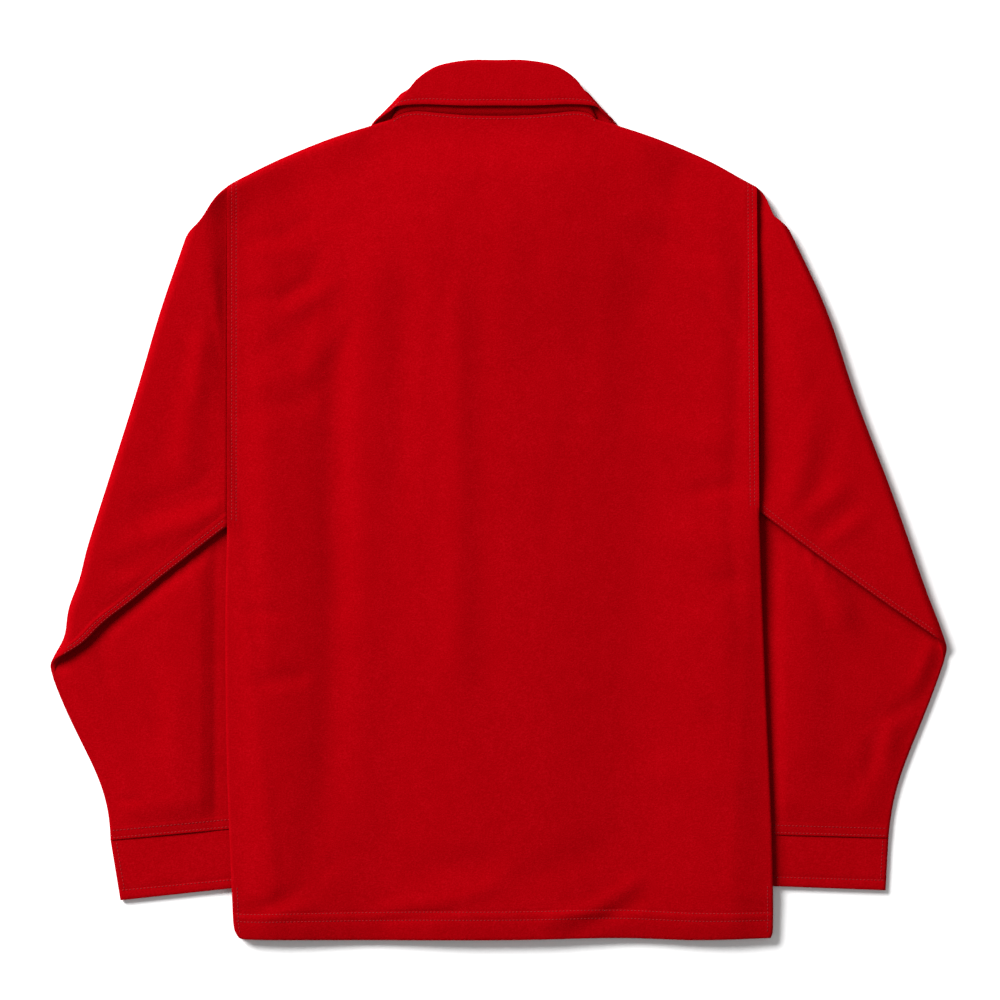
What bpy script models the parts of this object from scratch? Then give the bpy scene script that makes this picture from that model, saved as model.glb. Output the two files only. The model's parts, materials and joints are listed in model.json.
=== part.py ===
"""A red wool mackinaw jacket, buttoned and laid on its front on a surface, seen from its back.

The back panel and the two fronts lie on each other. Each sleeve is a flattened tube. It leaves its
armhole outwards and down, and is folded under itself along the line that runs from below the
shoulder to the elbow, so that the forearm and the cuff come back under the side of the body.

Lengths are in millimetres, and as_mesh turns them into metres. +X runs to the right seen from
above with the collar at the far side, +Y runs from the hem to the collar, and +Z is up.
The origin is at the middle of the jacket's box, on the surface that it lies on.
"""

import math
from collections import namedtuple

import bmesh
import bpy
import numpy as np

MM = 0.001

# Cloth
CLOTH = 2.2  # wall of the wool
HOLLOW = 1.0  # air between the two walls of a flattened tube
HALF = CLOTH + HOLLOW / 2  # half the thickness of a flattened tube
SEAM_GAP = 0.3  # between two pieces at a seam
SEAM_RISE = 0.6  # a felled seam stands this far out of the cloth
ARMHOLE_RISE = 1.5  # the armhole's seam has more plies
RIM = 0.9  # height of a wall's edge where it rounds into a side seam
BEVEL_STEP = 1.0  # run of the small slope at the border of a raised band

# Overall
HALF_WIDTH = 425.6
HALF_LENGTH = 417.5

# Sleeve fold
ROLL = 4.6  # radius of the sleeve's fold, to the middle of its two walls
FOLD_DEPTH = ROLL + HALF  # from the silhouette to where the sleeve is flat again
TOP_TURN = 18.0  # the sleeve's top line goes round the fold over twice this length
ELBOW_TURN = 12.0  # and its underarm line over twice this one
ARMHOLE_HOLD = 36.0  # the armhole's line stays straight, and bulges begin over this width
HEAD_DROP = 6.2  # below the shoulder, the sleeve comes down to the armhole's seam by this much
HEAD_DROP_WIDTH = 22.0
HEAD_DROP_LENGTH = 60.0
FOREARM_BOW = 8.0  # the forearm's inner edge bows in this far below the body
WRIST_EVEN = 140.0  # a forearm's sections turn level with its cuff over this length
LIFT = 2 * HALF + SEAM_RISE + SEAM_GAP  # height of whatever lies on a forearm
LIFT_FULL = 8.0  # the lift stays whole this far outside what lies below
LIFT_END = 48.0  # and has ended this far outside it
ROLL_FADE = 48.0  # the sleeve comes down from its fold to its rest over this width
UNDERARM_BAND = 13.0  # width of the felled seam along the underarm
CUFF_SEAM_BAND = 12.0  # width of the felled seam at the cuff
UNDERARM_RISE = 2.0  # the free underarm edge stands this far off the forearm
UNDERARM_FADE = 46.0

Sleeve = namedtuple(
    "Sleeve",
    "name inward shoulder fold_top elbow underarm wrist_in wrist_out cuff_in cuff_out"
    " crown bow waist bulges",
)
Bulge = namedtuple("Bulge", "at out half_width")  # shares of the fold's length, and mm

SLEEVES = (
    Sleeve(
        name="left",
        inward=1,
        shoulder=(-257.0, 297.8),
        fold_top=(-295.9, 249.4),
        elbow=(-HALF_WIDTH, -156.3),
        underarm=(-257.0, -25.2),
        wrist_in=(-226.0, -309.7),
        wrist_out=(-368.0, -323.2),
        cuff_in=(-220.3, -365.1),
        cuff_out=(-358.6, -380.0),
        crown=4.3,
        bow=0.0,
        waist=8.8,
        bulges=(Bulge(0.17, 2.0, 0.14), Bulge(0.80, -2.2, 0.05), Bulge(0.93, -5.0, 0.045)),
    ),
    Sleeve(
        name="right",
        inward=-1,
        shoulder=(245.6, 296.9),
        fold_top=(275.0, 255.1),
        elbow=(HALF_WIDTH, -140.1),
        underarm=(247.8, -11.0),
        wrist_in=(230.6, -317.0),
        wrist_out=(370.8, -321.0),
        cuff_in=(228.5, -365.4),
        cuff_out=(368.1, -370.5),
        crown=4.0,
        bow=3.0,
        waist=6.6,
        bulges=(Bulge(0.20, 7.4, 0.18), Bulge(0.60, 4.0, 0.24), Bulge(0.95, 1.0, 0.06)),
    ),
)

# Body outline, from the hem up
EdgePoint = namedtuple("EdgePoint", "x y")
LEFT_SIDE = (
    EdgePoint(-247.5, -413.5),
    EdgePoint(-251.0, -403.0),
    EdgePoint(-252.7, -366.0),
    EdgePoint(-257.2, -250.0),
    EdgePoint(-258.6, -120.0),
    EdgePoint(-257.0, -25.2),
)
RIGHT_SIDE = (
    EdgePoint(259.0, -415.5),
    EdgePoint(261.0, -400.0),
    EdgePoint(259.6, -310.0),
    EdgePoint(253.6, -170.0),
    EdgePoint(247.8, -11.0),
)
HEM = (
    EdgePoint(-247.5, -413.5),
    EdgePoint(-238.0, -416.9),
    EdgePoint(-180.0, -HALF_LENGTH),
    EdgePoint(0.0, -HALF_LENGTH),
    EdgePoint(110.0, -415.6),
    EdgePoint(190.0, -HALF_LENGTH),
    EdgePoint(259.0, -415.5),
)
LEFT_SHOULDER = (
    EdgePoint(-257.0, 297.8),
    EdgePoint(-245.6, 304.3),
    EdgePoint(-207.6, 323.3),
    EdgePoint(-162.0, 342.0),
    EdgePoint(-120.2, 355.4),
)
RIGHT_SHOULDER = (
    EdgePoint(113.5, 355.4),
    EdgePoint(153.4, 342.0),
    EdgePoint(198.0, 323.0),
    EdgePoint(232.3, 304.0),
    EdgePoint(245.6, 296.9),
)
ARMHOLE_BAND = 12.0  # width of the felled seam round the armhole
# The body's left and right sides stand this far off what they lie on, at two heights
SIDE_STAND = ((1.2, 1.2), (0.8, 4.6))
SIDE_STAND_AT = (-120.0, -20.0)
SIDE_STAND_WIDTH = 34.0
HEM_BAND = 25.0  # depth of the turned-up hem
HEM_RISE = 0.8
HEM_ROUND = 0.5

# Front closing
LAP_EDGE_LEFT = 32.0  # at the hem, the left front laps over the right one as far as this
LAP_EDGE_RIGHT = -18.0  # the right front's edge at the hem, inside the left one
LAP_PLIES = 3.6  # the left front's turned edge is two plies thick
LAP_TURN = 60.0  # width of that turned edge
LAP_LIFT = LAP_PLIES + 1.0
LAP_RAMP = 38.0  # the right front comes down to the surface over this width
BACK_RAMP = 50.0
CROWN_TOP = (305.0, 355.0)  # the lap's lift of the back ends between these heights

# Buttons
BUTTON_RADIUS = 11.0
BUTTON_THICK = 2.2
BUTTON_BEVEL = 0.5
BUTTON_SEAT = 2.6  # depth that a button sinks into the turned edge below the jacket's weight
BUTTON_CLEAR = 0.3
BUTTON_HEM_X = 8.0
BUTTON_TOP = 258.0
BUTTON_SPACING = 115.0
BUTTON_COUNT = 6
BUTTON_SIDES = 20

# Collar
FALL_CLOTH = 2.6
STAND_CLOTH = 2.2
STAND_SEAM = 1.7  # between the stand and the neck edge of the panels
COLLAR_SEAM = 1.5  # between the fall's roll and the stand
EDGE_THIN = 0.7  # share of its thickness that the cloth has at a free edge
FALL_LIFT = FALL_CLOTH + 0.7
COLLAR_SLANT = 13.0  # the jacket's middle leans this far to the left from its hem to its neck
NECK_CORNER = 6  # the row of COLLAR at the shoulder seam

# lean is how far the fold has turned from the back, through the shoulder, to the front, roll is
# the radius of the fold to the middle of the cloth, and out is the distance from the middle
CollarSection = namedtuple("CollarSection", "middle lean roll fold edge neck")
Place = namedtuple("Place", "out y z")
COLLAR = (
    CollarSection(-1.2, 0, 2.0, Place(0, 417.5, 9.6), Place(0, 374, 12.0), Place(0, 364.5, 7.6)),
    CollarSection(-1.2, 0, 2.0, Place(28, 417.3, 9.6), Place(35, 374, 12), Place(28, 365, 7.6)),
    CollarSection(-1.2, 0, 2.0, Place(56, 412, 9.6), Place(70, 375.2, 12), Place(54, 367, 7.6)),
    CollarSection(-1.5, 8, 2, Place(74, 400.5, 9.4), Place(93, 373.5, 11.6), Place(73, 368.8, 7.6)),
    CollarSection(-2, 30, 1.9, Place(81, 390.5, 8.4), Place(101, 368, 9.8), Place(86, 367.6, 7.4)),
    CollarSection(-3, 70, 1.7, Place(86, 385, 6.6), Place(108, 363, 7.4), Place(92.6, 364.6, 6.6)),
    CollarSection(-3.5, 110, 1.6, Place(87, 380, 5), Place(113.5, 359, 3.8), Place(96, 361.6, 5.4)),
    CollarSection(-3.5, 150, 1.55, Place(87, 373, 3.6), Place(117, 353, 1.5), Place(93.7, 355, 4.7)),
    CollarSection(-3.5, 180, 1.55, Place(83, 362, 2.85), Place(116, 335, 1.34), Place(90, 345, 4.4)),
    CollarSection(-3.5, 180, 1.55, Place(74, 349, 2.85), Place(107, 305, 1.3), Place(75, 331, 4.4)),
    CollarSection(-3.5, 180, 1.55, Place(46, 325, 2.85), Place(86, 268, 1.3), Place(48, 309, 4.4)),
    CollarSection(-3.5, 180, 1.55, Place(5, 303, 2.85), Place(60, 243, 1.3), Place(4, 289, 4.4)),
)
COLLAR_GROUND = (
    (-72, 240),
    (64, 240),
    (112, 302),
    (120, 345),
    (117, 362),
    (60, 390),
    (-66, 390),
    (-124, 362),
    (-127, 345),
    (-119, 302),
)

# Largest folds of the back: soft ridges (height above 0) and troughs (below 0)
Fold = namedtuple("Fold", "x0 y0 x1 y1 half_width height")
BACK_PUFF = 3.4  # the back's cloth stands this far off the fronts, away from its edges
BACK_LEAST = 0.6  # and at least this far in a trough
PUFF_MARGIN = 42.0
BACK_FOLDS = (
    Fold(-144, 200, -148, -50, 15, -2.4),
    Fold(-148, -50, -154, -280, 16, -1.8),
    Fold(-112, 215, -109, -60, 18, 1.8),
    Fold(-86, 215, -96, 40, 14, 1.4),
    Fold(-28, 225, -30, -140, 16, 1.6),
    Fold(-238, 108, -182, 118, 13, 1.8),
    Fold(-182, 118, -134, 204, 14, 2.0),
    Fold(-245, 251, -207, 253, 11, -2.2),
    Fold(-207, 253, -160, 268, 11, -2.0),
    Fold(-238, 196, -206, 198, 10, -2.4),
    Fold(-206, 198, -178, 228, 10, -2.0),
    Fold(-214, 60, -208, -150, 20, 1.4),
    Fold(-224, -173, -200, -164, 9, -2.4),
    Fold(-200, -164, -170, -160, 9, -2.0),
    Fold(-224, -377, -196, -364, 10, -2.4),
    Fold(-196, -364, -166, -336, 11, -2.6),
    Fold(-100, -391, -50, -383, 8, -1.4),
    Fold(52, -404, 120, -366, 9, 2.4),
    Fold(108, 190, 104, 100, 16, 1.2),
    Fold(140, 264, 182, 254, 13, -1.6),
    Fold(182, 254, 204, 226, 12, -1.4),
    Fold(160, 48, 234, 36, 13, 1.4),
    Fold(204, 178, 226, 160, 8, -1.6),
    Fold(220, -70, 246, -86, 9, -1.6),
)
SLEEVE_FOLDS = {
    "left": (
        Fold(-284, 230, -258, 148, 7, 2.6),
        Fold(-270, 130, -262, 102, 9, -2.2),
        Fold(-368, -10, -322, 4, 13, -2.2),
        Fold(-322, 4, -276, 14, 12, -2.0),
        Fold(-374, -42, -294, -14, 13, 1.8),
        Fold(-352, 46, -292, 70, 16, 1.4),
    ),
    "right": (
        Fold(270, 170, 282, 130, 16, 1.6),
        Fold(278, 8, 306, 70, 10, 2.0),
        Fold(292, 8, 322, 70, 10, -1.8),
        Fold(290, -20, 324, 8, 7, 2.2),
        Fold(303, -34, 336, -5, 7, -1.8),
        Fold(378, 20, 350, 90, 20, 1.4),
    ),
}
FOREARM_FOLDS = {
    "left": (
        Fold(-300, -95, -291, -285, 19, 3.6),
        Fold(-390, -190, -372, -250, 14, 1.4),
        Fold(-334, -160, -330, -215, 12, -1.2),
    ),
    "right": (
        Fold(276, -120, 290, -250, 14, 2.0),
        Fold(304, -70, 318, -100, 14, 2.0),
        Fold(353, -247, 364, -205, 9, -1.6),
        Fold(364, -205, 406, -184, 9, -2.0),
        Fold(380, -265, 372, -215, 9, 2.0),
        Fold(340, -78, 386, -112, 12, -1.4),
    ),
}
BODY_OVER = 9.0  # the forearm's top is flat this far outside the underarm, below the body's side
SLEEVE_PUFF = 2.2
FOREARM_PUFF = 1.8
FOREARM_MARGIN = 16.0

# How finely the solids are made
SLEEVE_ACROSS = 9
SLEEVE_DOWN = 8
FOREARM_DOWN = 9
FOLD_TURNS = 6
PANEL_STEP_X = 22.0
PANEL_STEP_Y = 30.0
SIDE_STEPS = (0, 0.8, HALF, ARMHOLE_BAND, ARMHOLE_BAND + BEVEL_STEP, 26.0, 40.0, 56.0)
HEM_STEPS = (0, 0.8, HEM_BAND, HEM_BAND + BEVEL_STEP)
TOP_STEPS = (0, 0.8, HALF)
FOLD_STEPS = (0, 0.8, LAP_TURN, LAP_TURN + BEVEL_STEP)
CUFF_DOWN = 3
NECK_COLUMNS = (90.0, 75.0, 48.0, 4.0)  # distances of the panels' columns from the collar's middle
COLLAR_FINE = 8  # rows of COLLAR from the back's middle that have a station between them
COLLAR_TURNS = 4
FALL_STEPS = (0, 0.03, 0.35, 0.7)  # shares of the way from the fall's free edge to its roll
STAND_DOWN = 3
EDGE_TURNS = (90, 45, 0, -45, -90)


def smooth(t):
    """0 below 0, 1 above 1, and a soft step in between."""
    t = np.clip(t, 0.0, 1.0)
    return t * t * (3.0 - 2.0 * t)


def along(points, places):
    """Places on a smooth curve through points, read by number, so that 1.5 is between 1 and 2."""
    p = np.array(points, float)
    ends = np.vstack([2 * p[0] - p[1], p, 2 * p[-1] - p[-2]])
    span = np.minimum(places.astype(int), len(p) - 2)
    t = (places - span)[:, None]
    a, b, c, d = (ends[span + k] for k in range(4))
    return 0.5 * (
        2 * b + (c - a) * t + (2 * a - 5 * b + 4 * c - d) * t**2 + (3 * b - a - 3 * c + d) * t**3
    )


class Outline:
    """A curve through points, read by its share of length."""

    def __init__(self, points, soft=True):
        p = np.array(points, float)
        if soft and len(p) > 2:
            p = along(p, np.linspace(0, len(p) - 1, 12 * (len(p) - 1) + 1))
        self.points = p
        steps = np.linalg.norm(np.diff(self.points, axis=0), axis=1)
        self.lengths = np.concatenate([[0], np.cumsum(steps)])
        self.length = self.lengths[-1]

    def __call__(self, share):
        at = np.asarray(share, float) * self.length
        return np.stack([np.interp(at, self.lengths, axis) for axis in self.points.T], -1)


def joined(*outlines):
    """One outline that follows several in turn and keeps the corners between them."""
    return Outline(np.vstack([o.points for o in outlines]), soft=False)


def outside(x, y, corners):
    """Distance of places outside a convex shape, and 0 inside it."""
    c = np.array(corners, float)
    middle = c.mean(0)
    total = np.zeros(np.broadcast(x, y).shape)
    for a, b in zip(c, np.roll(c, -1, axis=0)):
        normal = np.array([b[1] - a[1], a[0] - b[0]])
        normal /= np.linalg.norm(normal)
        if np.dot(middle - a, normal) > 0:
            normal = -normal
        total += np.maximum((x - a[0]) * normal[0] + (y - a[1]) * normal[1], 0) ** 2
    return np.sqrt(total)


def fold_height(x, y, folds):
    """Sum of the soft ridges and troughs of a table at places."""
    total = np.zeros(np.broadcast(x, y).shape)
    for f in folds:
        dx, dy = f.x1 - f.x0, f.y1 - f.y0
        t = np.clip(((x - f.x0) * dx + (y - f.y0) * dy) / (dx * dx + dy * dy), 0, 1)
        away = np.hypot(x - f.x0 - t * dx, y - f.y0 - t * dy)
        total += f.height * np.exp(-((away / f.half_width) ** 2))
    return total


def ramp(distance):
    """How much of a lift is left at a distance outside what lies below."""
    return 1 - smooth((distance - LIFT_FULL) / (LIFT_END - LIFT_FULL))


def forearm_corners(sleeve):
    return (sleeve.fold_top, sleeve.elbow, sleeve.cuff_out, sleeve.cuff_in)


def forearm_lift(x, y):
    """Height to which the two folded forearms hold what lies on them."""
    return LIFT * np.maximum(*(ramp(outside(x, y, forearm_corners(s))) for s in SLEEVES))


def body_lift(x, y):
    """Height of the body's lowest layer: over the forearms, over the collar, or 0."""
    collar = FALL_LIFT * ramp(outside(x, y, COLLAR_GROUND))
    return np.maximum(forearm_lift(x, y), collar)


def edge_round(distance, radius):
    """Share of its full height that a rounded edge has at a distance from the silhouette."""
    return np.sqrt(np.clip(1 - (1 - np.clip(distance / radius, 0, 1)) ** 2, 0, 1))


def band(distance, width):
    """1 within a raised band along an edge and 0 beyond it."""
    return np.clip((width - distance) / BEVEL_STEP, 0, 1)


def as_mesh(name, rings, closed):
    """Bridges closed rings of points. A tube's last ring joins its first. Otherwise each end is
    shut by a strip between the ring's first half and its second half."""
    rings = np.asarray(rings, float) * MM
    count, size = rings.shape[:2]
    bm = bmesh.new()
    rows = [[bm.verts.new(p) for p in ring] for ring in rings]
    for i in range(count if closed else count - 1):
        here, there = rows[i], rows[(i + 1) % count]
        for k in range(size):
            n = (k + 1) % size
            bm.faces.new((here[k], here[n], there[n], there[k]))
    if not closed:
        for row, front in ((rows[0], True), (rows[-1], False)):
            for k in range(size // 2 - 1):
                face = (row[k], row[size - 1 - k], row[size - 2 - k], row[k + 1])
                bm.faces.new(face if front else face[::-1])
    bmesh.ops.recalc_face_normals(bm, faces=bm.faces)
    mesh = bpy.data.meshes.new(name)
    bm.to_mesh(mesh)
    bm.free()
    if mesh_volume(mesh) < 0:
        mesh.flip_normals()
    mesh.shade_smooth()
    mesh.set_sharp_from_angle(angle=math.radians(40))
    obj = bpy.data.objects.new(name, mesh)
    bpy.context.scene.collection.objects.link(obj)
    return obj


def mesh_volume(mesh):
    bm = bmesh.new()
    bm.from_mesh(mesh)
    volume = bm.calc_volume(signed=True)
    bm.free()
    return volume


def paint(obj, material):
    obj.data.materials.append(material)
    return obj


def material(name, colour, roughness):
    """A Principled material in one colour. Red wool and the buttons are both non-metals."""
    made = bpy.data.materials.new(name)
    made.use_nodes = True
    shader = made.node_tree.nodes["Principled BSDF"]
    shader.inputs["Base Color"].default_value = (*colour, 1)
    shader.inputs["Roughness"].default_value = roughness
    shader.inputs["Metallic"].default_value = 0
    return made


# Sleeves


class SleeveFrame:
    """Coordinates of one sleeve: p is the distance inside its fold, and q runs down the fold."""

    def __init__(self, sleeve):
        self.sleeve = sleeve
        self.start = np.array(sleeve.fold_top)
        fold = np.array(sleeve.elbow) - self.start
        self.length = np.linalg.norm(fold)
        self.down = fold / self.length
        self.inward = sleeve.inward * np.array([-self.down[1], self.down[0]])
        self.armhole = self.flat(sleeve.shoulder), self.flat(sleeve.underarm)

    def flat(self, place):
        """(p, q) of a plan place."""
        away = np.array(place) - self.start
        return np.array([away @ self.inward, away @ self.down])

    def from_armhole(self, p, q):
        """Distance of p and q from the armhole's line, towards the fold."""
        (p0, q0), (p1, q1) = self.armhole
        return ((q - q0) * (p1 - p0) - (p - p0) * (q1 - q0)) / math.hypot(p1 - p0, q1 - q0)

    def head_drop(self, p, q):
        """How far the sleeve's head comes down beside the upper end of the armhole."""
        (p0, q0), (p1, q1) = self.armhole
        below = ((p - p0) * (p1 - p0) + (q - q0) * (q1 - q0)) / math.hypot(p1 - p0, q1 - q0)
        near = 1 - smooth(self.from_armhole(p, q) / HEAD_DROP_WIDTH)
        return HEAD_DROP * near * (1 - smooth(below / HEAD_DROP_LENGTH))

    def plan(self, p, q):
        """(x, y) of p and q, with the fold's line bowed as the cloth lies."""
        out = np.zeros_like(q)
        for b in self.sleeve.bulges:
            out = out + b.out * np.exp(-(((q / self.length - b.at) / b.half_width) ** 2))
        held = smooth(self.from_armhole(p, q) / ARMHOLE_HOLD)
        p = p - out * (1 - smooth((p - FOLD_DEPTH) / 90.0)) * held
        x = self.start[0] + p * self.inward[0] + q * self.down[0]
        y = self.start[1] + p * self.inward[1] + q * self.down[1]
        return x, y


def ring_profile(width, across):
    """The section of a flattened tube, as four lists round it: distance across and height of the
    outer face, then of the inner face. It starts at the top line, on the upper wall."""
    share = np.linspace(0, 1, across)
    cut = UNDERARM_BAND / width
    share = np.sort(np.append(share, [1 - cut - BEVEL_STEP / width, 1 - cut]))
    outer_flat = HALF + share * (width - 2 * HALF)
    inner_flat = np.clip(outer_flat, HALF, width - HALF)
    turn = np.radians(EDGE_TURNS[1:-1])
    outer_turn = width - HALF + HALF * np.cos(turn)
    inner_turn = width - HALF + (HALF - CLOTH) * np.cos(turn)
    height = np.ones_like(share)
    around = (
        np.concatenate([outer_flat, outer_turn, outer_flat[::-1], width - outer_turn]),
        HALF * np.concatenate([height, np.sin(turn), -height, -np.sin(turn)]),
        np.concatenate([inner_flat, inner_turn, inner_flat[::-1], width - inner_turn]),
        (HALF - CLOTH) * np.concatenate([height, np.sin(turn), -height, -np.sin(turn)]),
    )
    return around


def sleeve_stations(frame):
    """(start, end, kind, turn) of each section, from the armhole to the cuff, in p and q."""
    s = frame.sleeve
    top, under = frame.flat(s.shoulder), frame.flat(s.underarm)
    fold_top, elbow = np.array([FOLD_DEPTH, 0.0]), np.array([FOLD_DEPTH, frame.length])
    run_top, run_elbow = np.array([0, TOP_TURN]), np.array([0, ELBOW_TURN])
    stations = []
    for t in np.linspace(0, 1, SLEEVE_DOWN + 1):
        out = np.array([s.crown * math.sin(math.pi * t) * (1 - t), 0])
        start = top + (fold_top - run_top - top) * t - out
        end = under + (elbow - run_elbow - under) * t
        end = end + np.array([0, s.bow * math.sin(math.pi * t)])
        stations.append((start, end, "upper", 0.0))
    for share in np.linspace(-1, 1, FOLD_TURNS + 1)[1:-1]:
        turn = (share + 1) * math.pi / 2
        stations.append((fold_top + run_top * share, elbow + run_elbow * share, "fold", turn))
    fold_top, elbow = fold_top + run_top, elbow + run_elbow
    wrist_in, wrist_out = frame.flat(s.wrist_in), frame.flat(s.wrist_out)
    length = np.linalg.norm(wrist_out - elbow)
    seam = 1 - CUFF_SEAM_BAND / length
    shares = np.append(np.linspace(0, seam - BEVEL_STEP / length, FOREARM_DOWN), [seam, 1])
    return stations + forearm_stations(s, shares, (fold_top, wrist_in), (elbow, wrist_out))


def forearm_stations(sleeve, shares, inner, outer):
    """Sections of the forearm. Both of its edges are bowed, and the last sections are level with
    the cuff."""
    lengths = [np.linalg.norm(edge[1] - edge[0]) for edge in (inner, outer)]
    aside = (outer[1] - outer[0])[::-1] * (1, -1) / lengths[1]
    stations = []
    for t in shares:
        even = smooth((1 - t) * lengths[1] / WRIST_EVEN)
        inner_t = 1 - (1 - t) * (even + (1 - even) * lengths[1] / lengths[0])
        start = inner[0] + (inner[1] - inner[0]) * inner_t
        start = start + np.array([FOREARM_BOW * math.sin(math.pi * inner_t), 0])
        end = outer[0] + (outer[1] - outer[0]) * t
        end = end + aside * sleeve.waist * math.sin(math.pi * t**1.8)
        stations.append((start, end, "forearm", 0.0))
    return stations


def sleeve_ring(frame, station, cuff_distance):
    """Outer and inner rings of one section, in x, y and z."""
    start, end, kind, turn = station
    width = np.linalg.norm(end - start)
    e = (end - start) / width
    across_outer, w_outer, across_inner, w_inner = ring_profile(width, SLEEVE_ACROSS)
    rings = []
    for across, w, outer in ((across_outer, w_outer, True), (across_inner, w_inner, False)):
        p, q = start[0] + e[0] * across, start[1] + e[1] * across
        side = np.clip(w / HALF if outer else w / (HALF - CLOTH), -1, 1)
        if outer and kind == "upper":
            w = w + SEAM_RISE * band(width - across, UNDERARM_BAND) * np.maximum(side, 0)
        if outer and kind == "forearm":
            w = w - SEAM_RISE * band(cuff_distance, CUFF_SEAM_BAND) * np.maximum(-side, 0)
        middle = np.minimum(across, width - across)
        rings.append(place_sleeve(frame, p, q, w, side, kind, turn, middle, width - across))
    return rings


def place_sleeve(frame, p, q, w, side, kind, turn, middle, from_underarm):
    """World places of a sleeve's points. w is the height off the middle of the flattened tube."""
    name = frame.sleeve.name
    if kind == "fold":
        x, y = frame.plan(FOLD_DEPTH - (ROLL + w) * math.sin(turn), q)
        return np.stack([x, y, ROLL + HALF + (ROLL + w) * math.cos(turn)], -1)
    x, y = frame.plan(p, q)
    rise = smooth(middle / 30.0)
    if kind == "forearm":
        shown = smooth((forearm_shown(frame, x, y) - 2.0) / FOREARM_MARGIN)
        puff = FOREARM_PUFF + fold_height(x, y, FOREARM_FOLDS[name])
        return np.stack([x, y, HALF - w + np.maximum(puff, 0) * rise * shown * (side < 0)], -1)
    near = 1 - smooth((p - FOLD_DEPTH) / ROLL_FADE)
    rest = forearm_lift(x, y)
    rest = rest + UNDERARM_RISE * (rest / LIFT) * (1 - smooth(from_underarm / UNDERARM_FADE))
    level = rest * (1 - near) + 2 * ROLL * near - frame.head_drop(p, q)
    puff = SLEEVE_PUFF + fold_height(x, y, SLEEVE_FOLDS[name])
    held = smooth(frame.from_armhole(p, q) / ARMHOLE_HOLD)
    puff = np.maximum(puff, 0) * rise * (1 - near) * held * (side > 0)
    return np.stack([x, y, HALF + level + w + puff], -1)


def forearm_shown(frame, x, y):
    """Distance of places from whatever lies over the forearm: the upper sleeve or the body."""
    s = frame.sleeve
    upper = np.array([s.underarm, s.elbow])
    edge = upper[1] - upper[0]
    edge /= np.linalg.norm(edge)
    below = s.inward * ((x - upper[0, 0]) * edge[1] - (y - upper[0, 1]) * edge[0])
    beside = s.inward * (s.underarm[0] - x) - BODY_OVER
    return np.minimum(-below if np.mean(below) < 0 else below, beside)


def make_sleeve(sleeve, wool):
    frame = SleeveFrame(sleeve)
    stations = sleeve_stations(frame)
    wrist = np.linalg.norm(np.array(sleeve.wrist_out) - np.array(sleeve.elbow))
    outer, inner = [], []
    for station in stations:
        from_wrist = wrist
        if station[2] == "forearm":
            from_wrist = np.linalg.norm(station[1] - frame.flat(sleeve.wrist_out))
        rings = sleeve_ring(frame, station, from_wrist)
        outer.append(rings[0])
        inner.append(rings[1])
    shift = np.array([-sleeve.inward * SEAM_GAP / 2, 0, 0])
    outer[0] = outer[0] + shift
    inner[0] = inner[0] + shift
    return paint(as_mesh(f"sleeve_{sleeve.name}", outer + inner[::-1], True), wool)


def make_cuff(sleeve, wool):
    """A flattened band, cut a little thicker than the sleeve that it is sewn to."""
    wrist = np.array([sleeve.wrist_in, sleeve.wrist_out])
    end = np.array([sleeve.cuff_in, sleeve.cuff_out])
    down = end - wrist
    gap = SEAM_GAP / np.linalg.norm(down, axis=1)[:, None]
    outer, inner = [], []
    for t in np.linspace(0, 1, CUFF_DOWN + 1):
        start, stop = wrist + down * (gap + (1 - gap) * t)
        width = np.linalg.norm(stop - start)
        e = (stop - start) / width
        profile = ring_profile(width, SLEEVE_ACROSS)
        for across, w, rings in ((profile[0], profile[1], outer), (profile[2], profile[3], inner)):
            x, y = start[0] + e[0] * across, start[1] + e[1] * across
            rings.append(np.stack([x, y, HALF - w], -1))
    return paint(as_mesh(f"cuff_{sleeve.name}", outer + inner[::-1], True), wool)


# Body panels

Panel = namedtuple("Panel", "name start end side neck")
WIDTH = HEM[-1].x - HEM[0].x
BACK_NECK = COLLAR[: NECK_CORNER + 1]
FRONT_NECK = COLLAR[NECK_CORNER:]


def share_of(hem_x):
    return (hem_x - HEM[0].x) / WIDTH


PANELS = (
    Panel("back", 0.0, 1.0, 0, BACK_NECK),
    Panel("front_left", 0.0, share_of(LAP_EDGE_LEFT), -1, FRONT_NECK),
    Panel("front_right", share_of(LAP_EDGE_RIGHT), 1.0, 1, FRONT_NECK),
)


def neck_place(section, side):
    """Where a panel's neck edge lies, beyond the collar's seam."""
    away = np.array([section.neck.out - section.fold.out, section.neck.y - section.fold.y])
    away = away * (STAND_SEAM / np.linalg.norm(away))
    return EdgePoint(section.middle + side * (section.neck.out + away[0]), section.neck.y + away[1])


def shoulder_tip(sleeve):
    return EdgePoint(sleeve.shoulder[0] + sleeve.inward * SEAM_GAP / 2, sleeve.shoulder[1])


def top_outline(panel):
    """A panel's shoulders and neck from left to right. A front's neck goes on level past the
    jacket's middle to its own front edge."""
    left = [neck_place(s, -1) for s in panel.neck]
    right = [neck_place(s, 1) for s in panel.neck]
    tips = [shoulder_tip(sleeve) for sleeve in SLEEVES]
    shoulder_left = Outline([tips[0], *LEFT_SHOULDER[1:], neck_place(COLLAR[NECK_CORNER], -1)])
    shoulder_right = Outline([neck_place(COLLAR[NECK_CORNER], 1), *RIGHT_SHOULDER[:-1], tips[1]])
    if not panel.side:
        return joined(shoulder_left, Outline(left[::-1] + right), shoulder_right).points
    if panel.side < 0:
        level = EdgePoint(tips[1].x, left[-1].y)
        return joined(shoulder_left, Outline(left, soft=False), Outline([left[-1], level])).points
    level = EdgePoint(tips[0].x, right[-1].y)
    neck = Outline(right[::-1], soft=False)
    return joined(Outline([level, right[-1]]), neck, shoulder_right).points


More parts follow.
